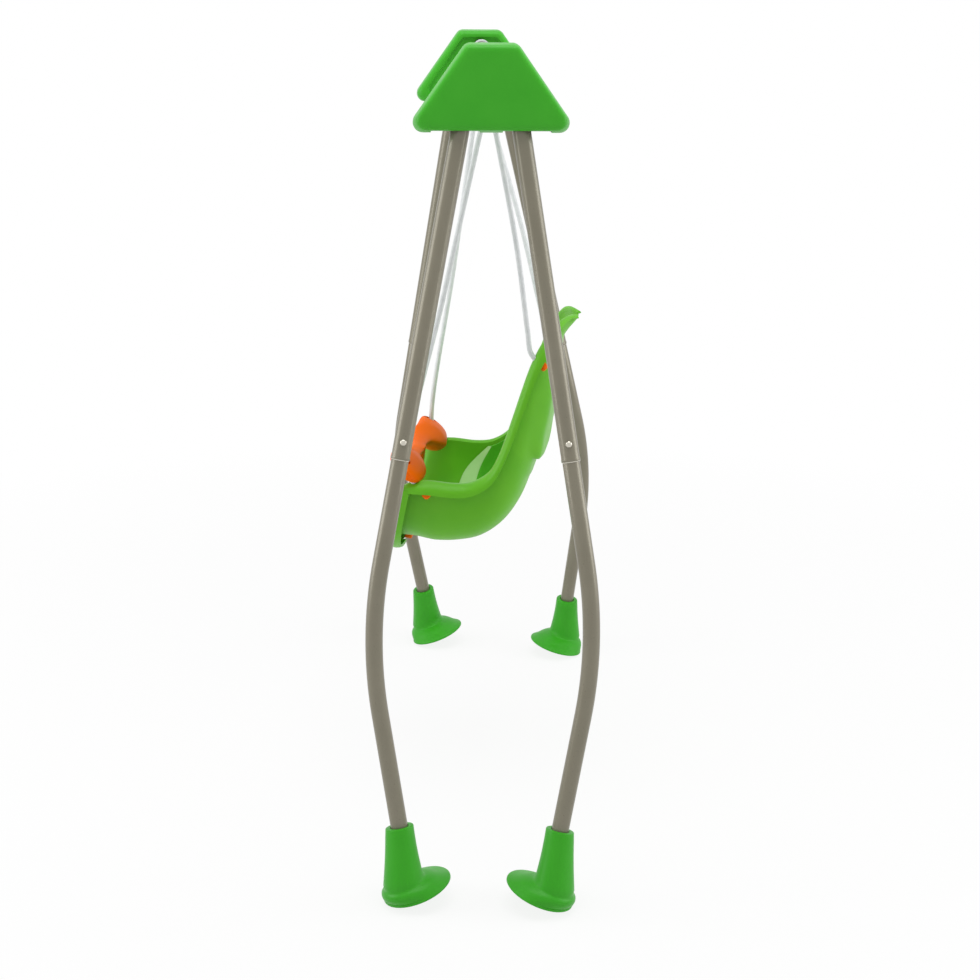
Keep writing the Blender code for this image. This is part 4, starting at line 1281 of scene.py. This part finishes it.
def open_sheet(name, rows):
    """A surface over rows of the seat's points, open at its edges and facing outwards."""
    skin, _ = skinned([[seat_place @ point for point in row] for row in rows], closed=False)
    sheet = made(name, skin)
    base, rim, _ = station(8)
    across = len(rows[0]) - 1
    face_out(sheet, len(rows) // 2 * across + across // 2, seat_place @ ((base + rim) / 2))
    return sheet


def front_lip(row):
    """Rows in front of the first one, where the front edge turns outwards like the rims."""
    last = len(row) - 1
    outwards = []
    for i in range(last + 1):
        along = row[min(i + 1, last)] - row[max(i - 1, 0)]
        outwards.append(Vector((0.0, along.z, -along.y)).normalized())
    lip = []
    for behind, out in lip_profile:
        points = []
        for i, point in enumerate(row):
            full = eased_step(0, lip_fade, min(i, last - i))
            points.append(point + Vector((behind, 0.0, 0.0)) + outwards[i] * out * full)
        lip.append(points)
    return lip


def rope_way(which, end_name):
    """The hole that a rope runs through, a little wider than the rope."""
    line = rope_lines[which, end_name]
    down = (line[-1] - line[-2]).normalized()
    places = framed([*line[-8:], line[-1] + down * 0.003])
    return loft("rope_way", [circle(*place, rope_d / 2 + rope_room, 24) for place in places])


def post_block(name, grow, tip_z):
    """The safety bar's post, or the hole for it when grown."""
    length = (post_top.z - tip_z) / cos(bar_tilt)
    low = (-post_half_x - grow, -post_half_y - grow, -length)
    high = (post_half_x + grow, post_half_y + grow, 0.004)
    post = eased(block(name, low, high), post_edge, segments=4)
    post.data.transform(seat_place @ Matrix.Translation(post_top) @ Matrix.Rotation(bar_tilt, 4, "Y"))
    return post


lime = moulded("lime_seat_plastic", (0.098, 0.425, 0.008), (0.146, 0.490, 0.018), 0.38, 0.24)
rows = []
for i in range((len(stations) - 1) * row_fineness + 1):
    place = i / row_fineness
    row = [bucket_point(place, k / seat_columns * pi / 2) for k in range(-seat_columns, seat_columns + 1)]
    base, rim, _ = station(place)
    rise = (rim - base).normalized()
    rows.append([point - rise * back_pad(place, point.y) for point in with_roll(row, place)])
seat = walled(open_sheet("lime_bucket", [*front_lip(rows[0]), *rows]), seat_wall)
holes = [rope_way(which, end_name) for end_name in ends for which in ("front", "back")]
carved(seat, *holes, post_block("post_hole", 0.0010, -0.03))
finish(seat, lime, "seat_lime", "swing", "seat_shell", angle=50)

# Back liner
# A separate softer insert of the same green lines the back of the bucket. It is 11 mm thick, and its
# cut front edge shows pale.
liner_wall = 0.011
liner_gap = 0.0028
liner_count = 58
liner_columns = 30
liner_width = 0.985
# The front edge is a ramp of a few rows. It is given in stations, at the middle and how much further
# back it is at the rims, and it stays low until near them.
ramp = 6
ramp_foot = (3.26, 1.62)
ramp_head = (4.10, 0.95)
ramp_curve = 4.05
liner_top = 12.4


def liner_rows():
    """The liner's outside from its front edge to its top; its ramp leans back up the sides."""
    rows = []
    for i in range(liner_count + 1):
        row = []
        for j in range(-liner_columns, liner_columns + 1):
            a = j / liner_columns * pi / 2 * liner_width
            up = (1 - cos(a)) ** ramp_curve
            front = ramp_foot[0] + ramp_foot[1] * up
            behind = ramp_head[0] + ramp_head[1] * up
            if i < ramp:
                place = front + (behind - front) * i / ramp
            else:
                place = behind + (liner_top - behind) * (i - ramp) / (liner_count - ramp)
            row.append(bucket_point(place, a, seat_wall + liner_gap))
        rows.append(row)
    return rows


def padded_skin(name, rows):
    """A closed skin over the liner's outside and inside. The faces of its ramp get the second material."""
    sheet = open_sheet(name, rows)
    outer = [v.co.copy() for v in sheet.data.vertices]
    normals = [v.normal.copy() for v in sheet.data.vertices]
    bpy.data.objects.remove(sheet)
    width = len(rows[0])
    count = len(rows)
    inner = []
    for i, (point, normal) in enumerate(zip(outer, normals)):
        row = i // width
        depth = liner_wall * (0.10 + 0.90 * min(1.0, row / ramp))
        top = 1 - 0.5 * eased_step(count - 4, count - 1, row)
        inner.append(point - normal * depth * top)
    skin = bmesh.new()
    far_side = [skin.verts.new(point) for point in outer]
    near_side = [skin.verts.new(point) for point in inner]
    for i in range(count - 1):
        for j in range(width - 1):
            a, b = i * width + j, i * width + j + 1
            c, d = b + width, a + width
            skin.faces.new([far_side[k] for k in (a, b, c, d)])
            skin.faces.new([near_side[k] for k in (a, d, c, b)]).material_index = int(i < ramp)
    edge = list(range(width))
    edge += [i * width + width - 1 for i in range(1, count)]
    edge += [(count - 1) * width + i for i in range(width - 2, -1, -1)]
    edge += [i * width for i in range(count - 2, 0, -1)]
    for k, a in enumerate(edge):
        b = edge[(k + 1) % len(edge)]
        front = a < width and b < width
        skin.faces.new((far_side[a], far_side[b], near_side[b], near_side[a])).material_index = int(front)
    return made(name, skin)


liner = padded_skin("bucket_liner", liner_rows())
liner.data.materials.append(moulded("green_liner", (0.056, 0.370, 0.006), (0.082, 0.425, 0.014), 0.45, 0.22))
pale = moulded("pale_liner_edge", (0.300, 0.590, 0.190), (0.370, 0.650, 0.250), 0.45, 0.25, patch=0.02)
liner.data.materials.append(pale)
shade(liner, 40)
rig.slot(liner, "liner_lime")
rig.ride(liner, "swing")
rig.replaces(liner, "back_liner")

# Safety bar
# An orange moulded bar lies across the child's lap. Its two lobes are threaded on the front ropes,
# so it lifts up them, and its post drops through a hole in the seat's floor between the legs.
# The table gives it from its left end to its right: Y, X, Z, half width, half thickness and tilt.
eye_r = 0.0125
eye_shift = Vector((-0.003, 0.002, 0.0))
eye_shape = Matrix.Diagonal((0.84, 1.1, 1.0, 1.0))
bar_sections = [
    (-0.162, -0.106, 0.1400, 0.0180, 0.0070, 44),
    (-0.153, -0.106, 0.1420, 0.0280, 0.0110, 44),
    (-0.136, -0.105, 0.1430, 0.0325, 0.0135, 44),
    (-0.116, -0.104, 0.1430, 0.0330, 0.0160, 44),
    (-0.098, -0.104, 0.1440, 0.0310, 0.0165, 42),
    (-0.078, -0.107, 0.1450, 0.0250, 0.0140, 36),
    (-0.055, -0.111, 0.1430, 0.0170, 0.0100, 24),
    (-0.028, -0.111, 0.1390, 0.0130, 0.0085, 12),
    (0.000, -0.108, 0.1380, 0.0120, 0.0085, 6),
    (0.028, -0.111, 0.1380, 0.0120, 0.0085, 8),
    (0.055, -0.111, 0.1400, 0.0160, 0.0100, 16),
    (0.078, -0.106, 0.1380, 0.0260, 0.0170, 30),
    (0.098, -0.101, 0.1360, 0.0305, 0.0220, 40),
    (0.116, -0.101, 0.1370, 0.0305, 0.0200, 42),
    (0.136, -0.102, 0.1400, 0.0285, 0.0150, 40),
    (0.153, -0.103, 0.1400, 0.0235, 0.0110, 38),
    (0.161, -0.103, 0.1390, 0.0150, 0.0065, 38),
]
rings = []
for i in range((len(bar_sections) - 1) * row_fineness + 1):
    y, x, z, half_x, half_z, tilt = between(bar_sections, i / row_fineness)
    t = radians(tilt)
    ring = []
    for k in range(40):
        a = 2 * pi * k / 40
        # The top is flatter than the underside
        px, pz = half_x * cos(a), half_z * sin(a) * (0.72 if sin(a) > 0 else 1.12)
        ring.append(seat_place @ Vector((x + px * cos(t) + pz * sin(t), y, z - px * sin(t) + pz * cos(t))))
    rings.append(ring)
bar = loft("orange_safety_bar", rings)
carved(bar, post_block("post", 0.0, post_tip_z), operation="UNION")
tools = [rope_way("front", end_name) for end_name in ends]
for end in ends.values():
    centre = Vector((eye.x + eye_shift.x, end * (eye.y + eye_shift.y), eye.z))
    hole = bore((0, 0, 0), (0, 0, 1), eye_r, -0.06, 0.06, 40)
    hole.data.transform(seat_place @ Matrix.Translation(centre) @ eye_shape)
    tools.append(hole)
carved(bar, *tools)
orange = moulded("orange_moulded_plastic", (0.86, 0.120, 0.0006), (0.96, 0.165, 0.001), 0.46, 0.10)
finish(bar, orange, "bar_orange", "bar", "safety_bar", angle=40)

# Stoppers
# Each rope ends under the rim in an orange moulded bead that is pushed onto it and melted over. The
# bead is wider than the hole in the rim, so the seat hangs on it.
stopper_r = 0.0065
bead_steps = [
    (air, stopper_r * 0.70),
    (0.0008, stopper_r * 0.84),
    (0.0020, stopper_r * 0.97),
    (0.0034, stopper_r),
    (0.0076, stopper_r),
    (0.0094, stopper_r * 0.95),
    (0.0108, stopper_r * 0.80),
    (0.0117, stopper_r * 0.60),
    (0.0120, stopper_r * 0.30),
]
for (which, end_name), line in rope_lines.items():
    bead = turned(f"{which}_{end_name}_bead", bead_steps, line[-1], (line[-1] - line[-2]).normalized())
    finish(bead, orange, "bar_orange", "swing", f"{which}_{end_name}_stopper", angle=60)

new_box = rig.bounds()
with open("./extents.json", "w") as size_file:
    json.dump({"cad": [list(c) for c in cad_box], "visual": [list(c) for c in new_box]}, size_file)
